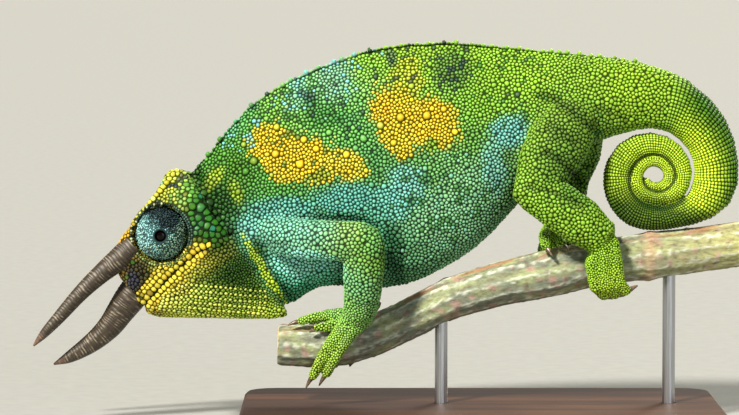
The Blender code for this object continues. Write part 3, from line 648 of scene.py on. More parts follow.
tubercles = [  # (x, z) and size of the large single scales on the flank
    (-56.6, 66.0, 1.15), (-58.6, 63.5, 1.0), (-51.2, 67.8, 1.1), (-41.2, 69.2, 1.0), (-45.2, 65.4, 1.15),
    (-44.2, 71.4, 0.95), (-33.7, 67.8, 0.95), (-51.0, 74.4, 0.9), (-38.0, 73.2, 0.85), (-29.5, 71.8, 0.95),
    (-25.3, 75.0, 1.05), (-20.3, 77.0, 1.15), (-13.8, 77.4, 1.2), (-22.0, 70.7, 0.9), (-59.2, 70.0, 0.8),
    (-31.4, 69.4, 0.8), (-9.6, 79.0, 0.85), (-6.8, 73.4, 0.85), (-17.6, 84.6, 0.8), (-60.5, 58.4, 0.8),
    (-69.8, 54.6, 1.15), (-27.5, 60.4, 0.75),
]


def formOf(owners, k):
    words = [next((word for word in scaleForm if name.endswith(word)), "tail") for name in fleshNames]
    return np.array([scaleForm[word][k] for word in words])[owners]


def spacingAt(points, owners):
    size = formOf(owners, 0)
    face = inNodes(owners, "head", "jaw", "throat", "neck", "trunk")
    for x0, z0, reach, spacing in sizeSpots:
        near = np.exp(-(((points[:, 0] - x0) ** 2 + (points[:, 2] - z0) ** 2) / reach**2))
        size = np.where(face, size + (spacing - size) * near, size)
    belly = inNodes(owners, "trunk") & (np.abs(points[:, 1]) < 3.0) & (points[:, 2] < 60)
    size = np.where(belly, 0.8, size)
    hand = inNodes(owners, "forearm", "shank") & (points[:, 2] < 36)
    return np.where(hand, size * (1 - 0.3 * ramp(-points[:, 2], -36, -26)), size)


planted = {"at": [], "size": [], "lift": [], "kind": []}  # scales with a place of their own


def plant(point, size, lift=1.0, kind="scale"):
    hit = skinTree.find_nearest(point)[0]
    planted["at"].append(tuple(hit))
    planted["size"].append(size)
    planted["lift"].append(lift)
    planted["kind"].append(kind)


def plantFromSide(x, z, size, lift=1.0, kind="scale"):
    # at (x, z) on both sides of the animal, found from well outside it
    for side in (-1, 1):
        hit = skinTree.ray_cast(Vector((x, side * 30, z)), Vector((0, -side, 0)))[0]
        if hit:
            plant(hit, size, lift, kind)


def plantTubercles():
    for x, z, size in tubercles:
        plantFromSide(x, z, size * 0.92, 1.15, "tubercle")


def plantCrest():
    # a low crest along the middle of the back, with a larger scale every few
    x, smallLeft = -68.0, 0
    while x < 40:
        hit = skinTree.ray_cast(Vector((x, 0, 110)), Vector((0, 0, -1)))[0]
        large = smallLeft == 0
        uneven = 0.12 * rng.normal(0, 1, 2).clip(-1.5, 1.5)
        size, lift = (0.66, 2.2) if large else (0.48, 1.3)
        plant(hit, size * (1 + uneven[0]), lift * (1 + 1.4 * uneven[1]), "crest")
        x += 1.12 if large else 0.92
        smallLeft = rng.integers(1, 4) if large else smallLeft - 1


lipRows = [  # mm off the mouth line, size, step, and the shares of the line where each row begins and ends
    (0.87, 0.68, 1.36, 0.03, 0.98), (2.16, 0.58, 1.14, 0.06, 0.9), (3.2, 0.46, 0.94, 0.12, 0.74),
    (-0.87, 0.66, 1.3, 0.03, 0.96), (-2.02, 0.52, 1.04, 0.06, 0.84),
]


def plantRow(line, off, size, step, first, last, lift=1.0, kind="scale", uneven=0.04):
    # a row of scales beside a line of (x, z), on both sides of the animal
    run = runAlong(line)

    def pointAlong(place):
        return np.array([np.interp(place, run, axis) for axis in zip(*line)])

    for place in np.arange(first * run[-1], last * run[-1], step):
        way = unit(pointAlong(min(place + 0.3, run[-1])) - pointAlong(max(place - 0.3, 0)))
        spot = pointAlong(place) + np.array([-way[1], way[0]]) * off + rng.normal(0, uneven, 2)
        plantFromSide(spot[0], spot[1], size * (1 + uneven * rng.normal()), lift, kind)


def plantLips():
    for off, size, step, first, last in lipRows:
        plantRow(mouthLine, off, size, step, first, last, 0.9, "lip", 0.12)


beads = {"rows": 6, "apart": 1.55, "size": 0.47, "step": 1.22}


def plantBeads():
    # rows of bright beads along the lower throat, fanning out from the chin
    for k in range(beads["rows"]):
        rise = k * beads["apart"]
        line = [(-81.5, 29.2 + 0.35 * rise), (-73.0, 28.0 + 0.95 * rise)]
        line += [(-64.0, 26.9 + rise), (-52.5, 26.0 + 0.95 * rise)]
        size = beads["size"] - 0.02 * k
        plantRow(line, 0.0, size, beads["step"], 0.04 + 0.01 * k, 0.97, 1.15, "bead")


casqueLine = [(-75.6, 64.6), (-78.9, 60.2), (-82.2, 56.4), (-85.6, 52.8), (-88.9, 48.4)]


def plantCasque():
    # the crest of the casque and the brow, with a paler row below it
    plantRow(casqueLine, 0.2, 0.62, 1.25, 0.0, 1.0, 1.5, "casque")
    plantRow(casqueLine, -1.15, 0.46, 1.0, 0.05, 0.95, 1.1, "brow")
    plantRow(casqueLine, -2.1, 0.42, 0.92, 0.4, 0.85, 1.1, "brow")


eye = {"at": (-79.6, 47.8), "out": 6.5, "radius": 6.9}  # (x, z), distance off the middle, and size


eyeRings = ((6.62, 0.56), (7.12, 0.6), (7.66, 0.66))  # radius of each ring, and spacing in it


def plantEyeRings():
    # rows of fine granules in the soft skin round the foot of each turret
    for reach, spacing in eyeRings:
        count = round(math.tau * reach / spacing)
        for k in range(count):
            turn = (k + 0.3 * rng.random()) * math.tau / count
            x, z = eye["at"][0] + reach * math.cos(turn), eye["at"][1] + reach * math.sin(turn)
            plantFromSide(x, z, spacing * 0.46, 1.2, "granule")


def plantTailRings():
    # round the tail, one ring after another from its arch to its tip
    angle = coil["start"]
    centre = np.array(coil["centre"])
    while angle < coil["end"]:
        outer, inner = coilEdges(angle)
        middle, thick = (outer + inner) / 2, outer - inner
        way = np.array((math.cos(math.radians(angle)), -math.sin(math.radians(angle))))
        spot = centre + way * middle
        start = Vector((spot[0], 0, spot[1]))
        spacing = coil["step"] * min(1.0, 0.45 + thick / 16)
        last = first = None
        for turn in np.arange(0, math.tau, 0.02):
            ray = Vector((way[0] * math.cos(turn), math.sin(turn), way[1] * math.cos(turn)))
            hit = skinTree.ray_cast(start, ray, thick * 0.95)[0]
            if hit is None:
                continue
            if last is None or (hit - last).length > spacing * 0.98:
                if first is not None and (hit - first).length < spacing * 0.6:
                    break
                plant(hit, spacing * 0.53, 1.0, "ring")
                first = first or hit
                last = hit
        angle += math.degrees(spacing * 1.02 / max(middle, 0.6))


def sampledPoints(count):
    # points spread over the skin, closer where scales are smaller, with the vertex each belongs to
    a, b, c = (skinPoints[skinFaces[:, k]] for k in range(3))
    areas = np.linalg.norm(np.cross(b - a, c - a), axis=1) / spacingAt(a, skinNode[skinFaces[:, 0]]) ** 2
    chosen = rng.choice(len(areas), count, p=areas / areas.sum())
    u, v = rng.random(count), rng.random(count)
    flip = u + v > 1
    u[flip], v[flip] = 1 - u[flip], 1 - v[flip]
    points = a[chosen] + (b - a)[chosen] * u[:, None] + (c - a)[chosen] * v[:, None]
    return points, skinFaces[chosen, 0]


def keepsClear(points):
    # false in the mouth, and where an eye turret or a horn covers the skin
    clear = np.ones(len(points), bool)
    for side in (-1, 1):
        offset = points - np.array([eye["at"][0], side * eye["out"], eye["at"][1]])
        outward = offset[:, 1] * side > -2.0
        clear &= ~((np.linalg.norm(offset, axis=1) < eye["radius"] + 0.15) & outward)
    clear &= alongLine(points[:, 0], points[:, 2], mouthLine)[0] > 0.7
    for name in ("horn_brow_left", "horn_brow_right", "horn_nose"):
        tree = BVHTree.FromObject(nodes[name], bpy.context.evaluated_depsgraph_get())
        near = [tree.find_nearest(Vector(p) * mm, 0.7 * mm)[0] is not None for p in points]
        clear &= ~np.array(near)
    return clear


growth = {
    "candidates": 260000,  # points that the scales are chosen from
    "apart": 0.86,  # least distance between two scales, against the sum of their sizes
    "rounds": 10,  # of pushing them apart afterwards
}


def candidates():
    # places for the scales that grow between the planted ones, the largest first
    points, roots = sampledPoints(growth["candidates"])
    owners = skinNode[roots]
    spacing = spacingAt(points, owners)
    big = rng.random(len(points))
    size = spacing * 0.5 * (0.88 + 0.14 * rng.random(len(points)))
    size *= np.where(big < 0.004, 1.45, np.where(big < 0.02, 1.22, 1.0))
    ring = inNodes(owners, "tail_arch", "turn")  # the tail is planted whole
    x, z = points[:, 0] - coil["centre"][0], coil["centre"][1] - points[:, 2]
    ring |= inNodes(owners, "tail_root") & (np.degrees(np.arctan2(z, x)) > coil["start"]) & (x > 0)
    keep = ~ring
    head = np.abs(points[:, 0] + 82) < 14
    keep[head] &= keepsClear(points[head])
    points, roots, size = points[keep], roots[keep], size[keep]
    order = np.argsort(-(size > spacing[keep] * 0.58).astype(float) * size, kind="stable")
    return points[order], roots[order], size[order]


skinKd = searchTree(skinPoints)


def wellApart(points, sizes, ways, fixed):
    # goes through the points in order and drops the later ones that are too close to one it keeps
    tree = searchTree(points)
    alive = bytearray(b"\x01") * len(points)
    chosen = []
    for i in range(len(points)):
        if not alive[i]:
            continue
        chosen.append(i)
        mine, (nx, ny, nz) = sizes[i], ways[i]
        for _, j, distance in tree.find_range(points[i], mine + 0.95):
            if j > i and j >= fixed and distance < (mine + sizes[j]) * growth["apart"]:
                ox, oy, oz = ways[j]
                if nx * ox + ny * oy + nz * oz > 0:  # not through a thin fold
                    alive[j] = 0
    return chosen


def growScales():
    # the planted scales all stay, and the others grow between them
    plantTubercles()
    plantCrest()
    plantLips()
    plantBeads()
    plantCasque()
    plantEyeRings()
    plantTailRings()
    points, roots, size = candidates()
    fixed = len(planted["at"])
    allPoints = np.vstack([planted["at"], points])
    allSizes = np.concatenate([planted["size"], size])
    allRoots = np.concatenate([[skinKd.find(point)[1] for point in planted["at"]], roots])
    chosen = wellApart(allPoints, allSizes.tolist(), skinNormals[allRoots].tolist(), fixed)
    grown = len(allPoints) - fixed
    kinds = np.array(planted["kind"] + ["scale"] * grown)
    lifts = np.concatenate([planted["lift"], np.ones(grown)])
    return allPoints[chosen], allRoots[chosen], allSizes[chosen], lifts[chosen], kinds[chosen]


scaleAt, scaleRoot, scaleSize, scaleLift, scaleKind = growScales()
print("scales placed:", len(scaleAt), "of which planted", int((scaleKind != "scale").sum()))


def neighbours(points, count):
    tree = searchTree(points)
    return np.array([[j for _, j, _ in tree.find_n(point, count + 1)][1:] for point in points])


def settled(at, root):
    # pushes close scales apart and back onto the skin, so that they lie in even rows
    free = scaleKind == "scale"
    for _ in range(growth["rounds"]):
        near = neighbours(at, 8)
        offset = at[:, None] - at[near]
        distance = np.linalg.norm(offset, axis=2).clip(0.05)
        wanted = (scaleSize[:, None] + scaleSize[near]) * 1.1
        facing = (skinNormals[root][:, None] * skinNormals[root][near]).sum(axis=2) > 0.2
        push = np.where(facing, (wanted - distance).clip(0), 0) / distance
        moved = at + (offset * push[..., None]).sum(axis=1) * 0.24
        for i in np.flatnonzero(free):
            at[i] = skinTree.find_nearest(moved[i])[0]
        root = np.where(free, [skinKd.find(point)[1] for point in at], root)
    return at, root


scaleAt, scaleRoot = settled(scaleAt, scaleRoot)
print("scales settled")


def isPlate():
    # the large flat scales behind the eye
    return (scaleSize > 0.56) & inNodes(skinNode[scaleRoot], "head") & (scaleKind == "scale")


directions = 8  # in which the outline of a scale is measured


def scaleOutlines():
    # the outline of each scale reaches to its neighbours, with a dark gap between
    near = neighbours(scaleAt, 12)
    normal = skinNormals[scaleRoot]
    lie = np.array([1.0, 0.0, 0.0]) - normal * normal[:, :1]
    weak = np.linalg.norm(lie, axis=1) < 0.25
    lie[weak] = np.array([0.0, 0.0, 1.0]) - normal[weak] * normal[weak][:, 2:]
    lie = unit(lie)
    across = np.cross(normal, lie)
    offset = scaleAt[near] - scaleAt[:, None]
    distance2 = (offset**2).sum(axis=2)
    facing = (normal[:, None] * normal[near]).sum(axis=2) > 0.0
    share = scaleSize[:, None] / (scaleSize[:, None] + scaleSize[near])
    u, v = (offset * lie[:, None]).sum(axis=2), (offset * across[:, None]).sum(axis=2)
    turn = rng.random(len(scaleAt)) * math.tau
    widest = np.where(isPlate(), 1.7, 1.42)  # plates fill their places
    outline = np.empty((len(scaleAt), directions))
    for k in range(directions):
        angle = turn + k * math.tau / directions
        c, s = np.cos(angle), np.sin(angle)
        toward = u * c[:, None] + v * s[:, None]
        limit = np.where(facing & (toward > 0.05), share * distance2 / toward.clip(0.05), 9.0)
        outline[:, k] = np.minimum(limit.min(axis=1) * 0.96, scaleSize * widest)
    return {
        "at": scaleAt, "normal": normal, "lie": lie, "across": across, "turn": turn,
        "outline": outline.clip(0.1),
    }


profile = [  # rings of a dome: share of outline and height, painted shade (darkest at the foot), more of it on tall ones, size in the map
    (1.0, 0.0, 0.1, 0.24, 0.0014),
    (0.9, 0.42, 0.5, 0.32, 0.0011),
    (0.61, 0.85, 0.96, 0.04, 0.0006),
]


def scaleMesh(name, scales, sides):
    # one domed, closed scale for each row, all in one mesh, with painted shade at its foot and a painted
    # highlight at its tip; tall ones have paler sides
    at, normal, lie, across = (scales[key] for key in ("at", "normal", "lie", "across"))
    count, tip = len(at), len(profile) * sides
    angle = scales["turn"][:, None] + np.arange(sides) * math.tau / sides
    outline = scales["outline"]
    if sides != directions:  # read between them
        place = np.arange(sides) * directions / sides
        low = place.astype(int)
        part = place - low
        outline = outline[:, low] * (1 - part) + outline[:, (low + 1) % directions] * part
    outline = outline[:, :, None]
    flat = np.cos(angle)[..., None] * lie[:, None] + np.sin(angle)[..., None] * across[:, None]
    mean = outline.mean(axis=1)
    height, proud = scales["height"][:, None], scales["proud"][:, None, None]
    points, shade, patch = (np.empty((count, tip + 1, width)) for width in (3, 1, 2))
    for k, (wide, tall, tone, more, radius) in enumerate(profile):
        rounded = outline * (1 - 0.45 * (k > 1)) + mean[:, None] * 0.45 * (k > 1)
        rise = height * tall if k else -0.12 - 0.1 * mean  # the foot lies in the skin
        block = slice(k * sides, (k + 1) * sides)
        points[:, block] = at[:, None] + flat * rounded * wide + (normal * rise)[:, None]
        shade[:, block] = tone + more * proud
        patch[:, block] = np.stack([np.cos(angle), np.sin(angle)], axis=2) * radius
    points[:, -1] = at + normal * height
    # a painted highlight on the tip of each dome
    shade[:, -1] = 1.18
    patch[:, -1] = 0
    start = (np.arange(count) * (tip + 1))[:, None]
    ring = np.arange(sides)
    bottom = start + ring[::-1]
    walls = [(start[:, None] + ringWalls(2, sides) + k * sides).reshape(-1, 4) for k in (0, 1)]
    top = np.stack([ring + 2 * sides, (ring + 1) % sides + 2 * sides, np.full(sides, tip)], axis=1)
    tops = (start[:, None] + top).reshape(-1, 3)
    mesh = fastMesh(name, points.reshape(-1, 3), [bottom, *walls, tops])
    deeper = 1 + 0.55 * (1 - shade).clip(0)  # painted shade makes the sides of a dome fuller in colour, as well as darker
    tint = (scales["colour"][:, None].clip(0.001, 1) ** deeper * shade).clip(0, 1)
    paint(mesh, "scaleColour", tint.reshape(-1, 3))
    uv = mesh.uv_layers.new(name="OFBake")
    spots = (scales["spot"][:, None] + patch).reshape(-1, 2)
    corners = numbers(mesh.loops, "vertex_index", 1, np.int64)[:, 0]
    uv.data.foreach_set("uv", spots[corners].clip(0, 1).ravel())
    return mesh


def unwrapped(names):
    # an unwrap of the named solids: a search tree, and each triangle's corners in space and in the map
    whole = bmesh.new()
    for name in names:
        whole.from_mesh(nodes[name].data)
    bmesh.ops.triangulate(whole, faces=whole.faces)
    mesh = bpy.data.meshes.new("unwrap")
    whole.to_mesh(mesh)
    whole.free()
    guide = newObject("unwrap", mesh)
    bpy.ops.object.select_all(action="DESELECT")
    guide.select_set(True)
    bpy.context.view_layer.objects.active = guide
    bpy.ops.object.mode_set(mode="EDIT")
    bpy.ops.mesh.select_all(action="SELECT")
    bpy.ops.uv.smart_project(angle_limit=1.15, island_margin=0.01, scale_to_bounds=False)
    bpy.ops.object.mode_set(mode="OBJECT")
    points = numbers(mesh.vertices, "co", 3) / mm
    corners = numbers(mesh.polygons, "vertices", 3, np.int64)
    uv = numbers(mesh.uv_layers.active.data, "uv", 2).reshape(-1, 3, 2)
    bpy.data.objects.remove(guide)
    return BVHTree.FromPolygons(points.tolist(), corners.tolist()), points[corners], uv


def rootsOnUnwrap(points, names):
    # where each point lies in the unwrap of the named solids
    tree, corners, uv = unwrapped(names)
    hits = [tree.find_nearest(point) for point in points]
    spot = np.array([hit[0] for hit in hits])
    face = np.array([hit[2] for hit in hits])
    a, b, c = (corners[face, k] for k in range(3))
    full = np.linalg.norm(np.cross(b - a, c - a), axis=1).clip(1e-9)
    wb = np.linalg.norm(np.cross(spot - a, c - a), axis=1) / full
    wc = np.linalg.norm(np.cross(spot - a, b - a), axis=1) / full
    weights = np.stack([1 - wb - wc, wb, wc], axis=1)[..., None]
    return (uv[face] * weights).sum(axis=1)


coatParts = {  # piece of the coat, and the words of the nodes it covers
    "coat_head": ("head", "lower_jaw"),
    "coat_throat": ("throat",),
    "coat_trunk": ("neck", "trunk"),
    "coat_rump_and_tail": ("tail_root", "tail_arch"),
    "coat_coil": ("turn",),
    "coat_left_arm": ("left_upper_arm", "left_forearm", "left_hand"),
    "coat_right_arm": ("right_upper_arm", "right_forearm", "right_hand"),
    "coat_left_leg": ("left_thigh", "left_shank", "left_foot"),
    "coat_right_leg": ("right_thigh", "right_shank", "right_foot"),
}
mostTriangles = 185000  # in one piece of the coat

bodyScales = scaleOutlines()
bodyScales["height"] = bodyScales["outline"].mean(axis=1) * formOf(skinNode[scaleRoot], 1) * scaleLift
bodyScales["height"] *= np.where(isPlate(), 0.3, 0.9)
bodyScales["proud"] = ramp(scaleLift, 1.15, 1.5)
bodyScales["spot"] = np.zeros((len(scaleAt), 2))
print("scale outlines done")

skinBase = washColours()
skinSpread = markColours(skinPoints, skinBase, skinNode, 0.0, speckle=False)
grain = rng.normal(0, 1, len(scaleAt))
scaleColours = markColours(scaleAt, skinBase[scaleRoot], skinNode[scaleRoot], grain)


def tint(where, code, share):
    scaleColours[where] = mix(scaleColours[where], linear(code), share)


def colourKinds():
    # planted scales that differ from the ground they stand on
    ink, pale = linear("#10201C"), linear("#B9C89A")
    dice = rng.random(len(scaleAt))
    x, z = scaleAt[:, 0] - eye["at"][0], scaleAt[:, 2] - eye["at"][1]
    tint(scaleKind == "granule", "#6E9C92", 0.75)
    tint(scaleKind == "lip", "#FFE84C", 0.72)
    tint(scaleKind == "casque", "#D6D23E", 0.7)
    tint(scaleKind == "bead", "#F0FF7C", 0.65)
    granule = scaleKind == "granule"
    tint(granule & (x + z > 1.0), "#10201C", 0.6)
    tint(granule & (z < -3.0) & (np.hypot(x, z) > 6.9), "#8A9A3C", 0.7)
    scaleColours[granule & (dice < 0.4)] *= 0.25
    brink = granule & (z - x > 4.0) & (dice > 0.4)
    scaleColours[brink] = np.where((dice[brink] < 0.72)[:, None], ink, pale)
    brow = scaleKind == "brow"
    scaleColours[brow] = np.where((dice[brow] < 0.6)[:, None], ink, pale)
    plate = isPlate()
    tint(plate, "#246E10", 0.6)
    for low, high, code in ((0.0, 0.1, "#2C8E70"), (0.97, 1.0, "#6E6626")):
        tint(plate & (dice >= low) & (dice < high) & (scaleAt[:, 0] < -66), code, 0.7)
    tint((scaleKind == "lip") & (dice < 0.12), "#4A3C1A", 0.5)


colourKinds()  # and then each scale a little brighter or darker, warmer or cooler
bright = 1 + 0.13 * rng.normal(0, 1, len(scaleAt)).clip(-2, 2)
warm = 0.05 * rng.normal(0, 1, len(scaleAt)).clip(-2, 2)
warmth = np.stack([1 + warm, np.ones_like(warm), 1 - warm], axis=1)
bodyScales["colour"] = scaleColours * bright[:, None] * warmth


def addNode(tree, kind, settings=None, stops=(), feeds=None, **inputs):
    # a node with its settings and any stops of a colour ramp, the socket its first output feeds, and
    # its own inputs, each set to a value or linked to a socket; at6 is input 6, where names repeat
    made = tree.nodes.new(kind)
    for key, value in (settings or {}).items():
        setattr(made, key, value)
    if stops:
        elements = made.color_ramp.elements
        while len(elements) < len(stops):
            elements.new(0.5)
        for element, (place, colour) in zip(elements, stops):
            element.position = place
            element.color = (*(linear(colour) if isinstance(colour, str) else [colour] * 3), 1.0)
    for key, value in inputs.items():
        socket = made.inputs[int(key[2:])] if key.startswith("at") else made.inputs[key.replace("_", " ")]
        if isinstance(value, bpy.types.NodeSocket):
            tree.links.new(value, socket)
        else:
            socket.default_value = value
    if feeds:
        tree.links.new(made.outputs[0], feeds)
    return made


def newMaterial(name, **values):
    # with uniform numbers set on the shader's own sockets
    made = bpy.data.materials.new(name)
    made.use_nodes = True
    tree = made.node_tree
    shader = tree.nodes["Principled BSDF"]
    for key, value in values.items():
        shader.inputs[key.replace("_", " ")].default_value = value
    return made, tree, shader


def scaleFor(grain):
    # a pattern's scale from the width of its grains in mm: how many there are in a metre, in tens
    return round(1 / (grain * mm), -1)


def stained(tree, shader, colour, pattern, stops):
    # base colour: the given one, darker and lighter with a pattern
    stain = addNode(tree, "ShaderNodeValToRGB", stops=stops, Fac=pattern.outputs["Fac"])
    worn = addNode(tree, "ShaderNodeMix", {"data_type": "RGBA", "blend_type": "MULTIPLY"}, at0=1.0,
                   at6=colour.outputs["Color"], at7=stain.outputs["Color"])
    tree.links.new(worn.outputs[2], shader.inputs["Base Color"])


# keratin scales over living skin, which shine softly at the top of each dome
def keratinScales():
    made, tree, shader = newMaterial("keratin_scales", Roughness=0.4, IOR=1.5, Specular_IOR_Level=0.2)
    colour = addNode(tree, "ShaderNodeVertexColor", {"layer_name": "scaleColour"})
    place = addNode(tree, "ShaderNodeTexCoord")
    # worn patches about half a scale wide; the grit of keratin itself is too fine to show
    fine = addNode(tree, "ShaderNodeTexNoise", Vector=place.outputs["Object"], Scale=scaleFor(0.385),
                   Detail=3.0)
    stained(tree, shader, colour, fine, [(0.3, 0.84), (0.7, 1.08)])
    addNode(tree, "ShaderNodeMapRange", feeds=shader.inputs["Roughness"], Value=fine.outputs["Fac"],
            To_Min=0.3, To_Max=0.48)
    return made


# the soft skin between the scales, matte and a little uneven
def softSkin():
    made, tree, shader = newMaterial("soft_skin", Roughness=0.7, IOR=1.45, Specular_IOR_Level=0.08)
    colour = addNode(tree, "ShaderNodeVertexColor", {"layer_name": "scaleColour"})
    place = addNode(tree, "ShaderNodeTexCoord")
    # wrinkles between two scales
    fine = addNode(tree, "ShaderNodeTexNoise", Vector=place.outputs["Object"], Scale=scaleFor(0.556),
                   Detail=4.0)
    stained(tree, shader, colour, fine, [(0.3, 0.6), (0.7, 1.0)])
    return made


scaleMaterial = keratinScales()
skinMaterial = softSkin()


def finished(piece, material, slot, *replaced):
    # one material, the still body it rides on and the solids it stands for; the slot of its material is not
    # used
    piece.data.materials.clear()
    piece.data.materials.append(material)
    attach(piece, "root")
    if replaced:
        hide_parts(*replaced)
    return piece


def chosenRows(scales, rows):
    return {key: values[rows] for key, values in scales.items()}


def dressCoat():
    # larger scales have eight sides and the rest six, and a part is cut in lengths where it grows too heavy
    sides = np.where(bodyScales["outline"].mean(axis=1) > 0.5, directions, 6)
    triangles = sides * 6 - 2
    for name, words in coatParts.items():
        covered = [node for node in fleshNames if any(word in node for word in words)]
        mine = np.flatnonzero(inNodes(skinNode[scaleRoot], *words))
        bodyScales["spot"][mine] = rootsOnUnwrap(scaleAt[mine], covered)
        pieces = math.ceil(triangles[mine].sum() / mostTriangles)
        order = mine[np.argsort(scaleAt[mine, 0], kind="stable")]
        for k, rows in enumerate(np.array_split(order, pieces)):
            label = f"{name}_{k + 1}" if pieces > 1 else name
            blocks = [(rows[sides[rows] == count], count) for count in (directions, 6)]
            made = [
                newObject(label, scaleMesh(label, chosenRows(bodyScales, part), count))
                for part, count in blocks if len(part)
            ]
            finished(joinedPieces(label, made), scaleMaterial, "skin")
            print(label, len(rows), "scales")
    print("coat triangles", triangles.sum())


def joinedPieces(name, pieces):
    if len(pieces) > 1:
        bpy.ops.object.select_all(action="DESELECT")
        for piece in pieces:
            piece.select_set(True)
        bpy.context.view_layer.objects.active = pieces[0]
        bpy.ops.object.join()
    pieces[0].name = name
    return pieces[0]


dressCoat()


def dressSkin():
    # between the scales the skin is much darker than they are, partly its own colour and partly painted
    # shade in the gaps, and browner along the lips
    dark, brown = linear("#061A0A"), linear("#5C5018")
    away, place = alongLine(skinPoints[:, 0], skinPoints[:, 2], mouthLine)
    lips = ramp(away, 0.2, 0.5) * ramp(-away, -3.4, -2.4) * ramp(1 - place, 0.0, 0.15)
    lips *= inNodes(skinNode, "head", "jaw", "throat")
    ground = mix(mix(skinSpread * 0.18, dark, 0.4), brown, lips * 0.6)
    paint(skin.data, "scaleColour", ground)
    thin = skin.modifiers.new("thin", "DECIMATE")
    thin.ratio = skinForm["faces"] / len(skin.data.polygons)
    evaluated(skin)
    smoothed(skin.data)
    finished(skin, skinMaterial, "skin", *fleshNames)
    print("skin faces", len(skin.data.polygons))


dressSkin()


# eyes: a cone of fused lids covered in fine scales, with the eyeball deep in its small opening

turret = {
    "opening": 1.6,  # radius of the gap between the lids, in mm
    "rim": 0.34,
    "scale": 0.6,  # spacing of the scales on the lids
    "bulge": 2.25,  # a higher number makes the sides steeper
    "skinIn": 0.22,  # depth of the skin under those scales
    "sides": 72,
}


def turretPlace(side):
    # centre of the turret's foot, its radius and how far it stands out, from the frame
    low, high = (np.array(corner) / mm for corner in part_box(f"eye_{side}"))
    sign = -1 if side == "left" else 1
    middle = (low + high) / 2
    radius = (high[0] - low[0]) / 2 + 0.2
    foot = np.array([middle[0], high[1] if sign < 0 else low[1], middle[2]])
    return foot, radius, (high[1] - low[1]), sign


def turretProfile(share, radius, reach):
    # distance from the axis and along it, for 0 at the rim of the lids and 1 at the foot
    angle = share * math.pi / 2
    start = turret["opening"] / radius
    out = start + (1 - start) * math.sin(angle)
    return radius * out, reach * max(1 - out ** turret["bulge"], 0.0) ** 0.5


def turretMesh(side):
    foot, radius, reach, sign = turretPlace(side)
    rim, skinIn, sides = turret["rim"], turret["skinIn"], turret["sides"]
    top = turretProfile(0.0, radius, reach)[1]
    rows = []
    for turn in np.linspace(-2.4, 0.9, 9):  # the rolled rim
        rows.append((turret["opening"] + rim * math.sin(turn) + 0.1, top - rim * (1 - math.cos(turn))))
    for share in np.linspace(0.06, 1.0, 26):
        rows.append(turretProfile(share, radius - skinIn, reach - skinIn))
    rows.append((radius - 0.5, -0.6))  # inside the head
    points = []
    for out, along in rows:
        for turn in np.arange(sides) * math.tau / sides:
            lump = 1 + 0.012 * math.sin(turn * 3 + 1.0)
            across, up = out * lump * math.cos(turn), out * lump * math.sin(turn)
            points.append((foot[0] + across, foot[1] + sign * along, foot[2] + up))
    faces = ringWalls(len(rows), sides)[:, ::-sign]
    points = np.array(points)
    mesh = fastMesh(f"lids_{side}", points, [faces])
    paint(mesh, "scaleColour", turretColours(points, side) * 0.2)
    return mesh


def turretColours(points, side):
    # teal on the front and low sides, navy above and behind, greener low down behind
    foot, radius = turretPlace(side)[:2]
    x, z = (points[:, 0] - foot[0]) / radius, (points[:, 2] - foot[2]) / radius
    out = np.hypot(x, z)
    teal, pale, navy, green = map(linear, ("#8ED0D0", "#BEEEE4", "#070F1C", "#88B49C"))
    colours = np.tile(teal, (len(points), 1))
    colours = mix(colours, pale, ramp(-x - 0.4 * z, 0.2, 0.9) * 0.5)
    wave = roughness(points, 1.6, 3.0) * 0.22
    colours = mix(colours, navy, ramp(x * 0.55 + z * 0.85 + wave, 0.02, 0.42) * 0.92)
    colours = mix(colours, green, ramp(x * 0.85 - z * 0.5 + wave, 0.1, 0.5) * 0.8)
    colours = mix(colours, navy, ramp(-np.abs(out - 0.93), -0.05, -0.01) * 0.5)
    return mix(colours, navy, ramp(-out, -0.3, -0.2) * 0.75)


def turretScales(side):
    # rings of fine scales round the lids, from the rim to the foot
    foot, radius, reach, sign = turretPlace(side)
    radius, reach = radius - 0.2, reach - 0.2
    at, normal = [], []
    share, spacing = 0.045, turret["scale"]
    while share < 1.0:
        out, along = turretProfile(share, radius, reach)
        out2, along2 = turretProfile(min(share + 0.01, 1.0), radius, reach)
        slope = np.array([out2 - out, along2 - along])
        slope /= np.linalg.norm(slope)
        count = max(6, round(math.tau * out / spacing))
        shift = rng.random()
        for k in range(count):
            turn = (k + shift + 0.25 * rng.normal()) * math.tau / count
            wide = out + 0.05 * rng.normal()
            c, s = math.cos(turn), math.sin(turn)
            at.append((foot[0] + wide * c, foot[1] + sign * along, foot[2] + wide * s))
            normal.append((-slope[1] * c, sign * slope[0], -slope[1] * s))
        run = 0.0
        while run < spacing * 0.9 and share < 1.0:
            share += 0.004
            following = turretProfile(share, radius, reach)
            run += math.hypot(following[0] - out, following[1] - along)
            out, along = following
    return np.array(at), unit(np.array(normal))


def dressEye(side):
    finished(newObject(f"lids_{side}", turretMesh(side)), skinMaterial, "lid", f"eye_{side}")
    at, normal = turretScales(side)
    count = len(at)
    size = turret["scale"] * 0.47 * (0.86 + 0.28 * rng.random(count))
    lie = unit(np.cross(normal, np.array([0.31, 0.0, 0.95])))
    colours = turretColours(at, side)
    specks = rng.random(count)
    middle = turretPlace(side)[0]
    behind = (at[:, 0] - middle[0] - 1.6 * (at[:, 2] - middle[2]) > 0.5) & (specks < 0.34)
    colours[behind] = mix(colours[behind], linear("#B8D8B0"), 0.7)
    colours[specks > 0.74] *= 0.36
    colours[(specks > 0.6) & (specks < 0.72)] *= 1.35
    colours *= (1 + 0.22 * rng.normal(0, 1, count).clip(-2, 2))[:, None]
    scales = {
        "at": at, "normal": normal, "lie": lie, "across": np.cross(normal, lie), "turn": rng.random(count),
        "outline": np.tile(size[:, None], (1, directions)), "height": size * 0.7, "proud": np.zeros(count),
        "spot": rootsOnUnwrap(at, [f"eye_{side}"]), "colour": colours,
    }
    name = f"coat_eye_{side}"
    finished(newObject(name, scaleMesh(name, scales, 6)), scaleMaterial, "lid")
    print("eye", side, count, "scales")


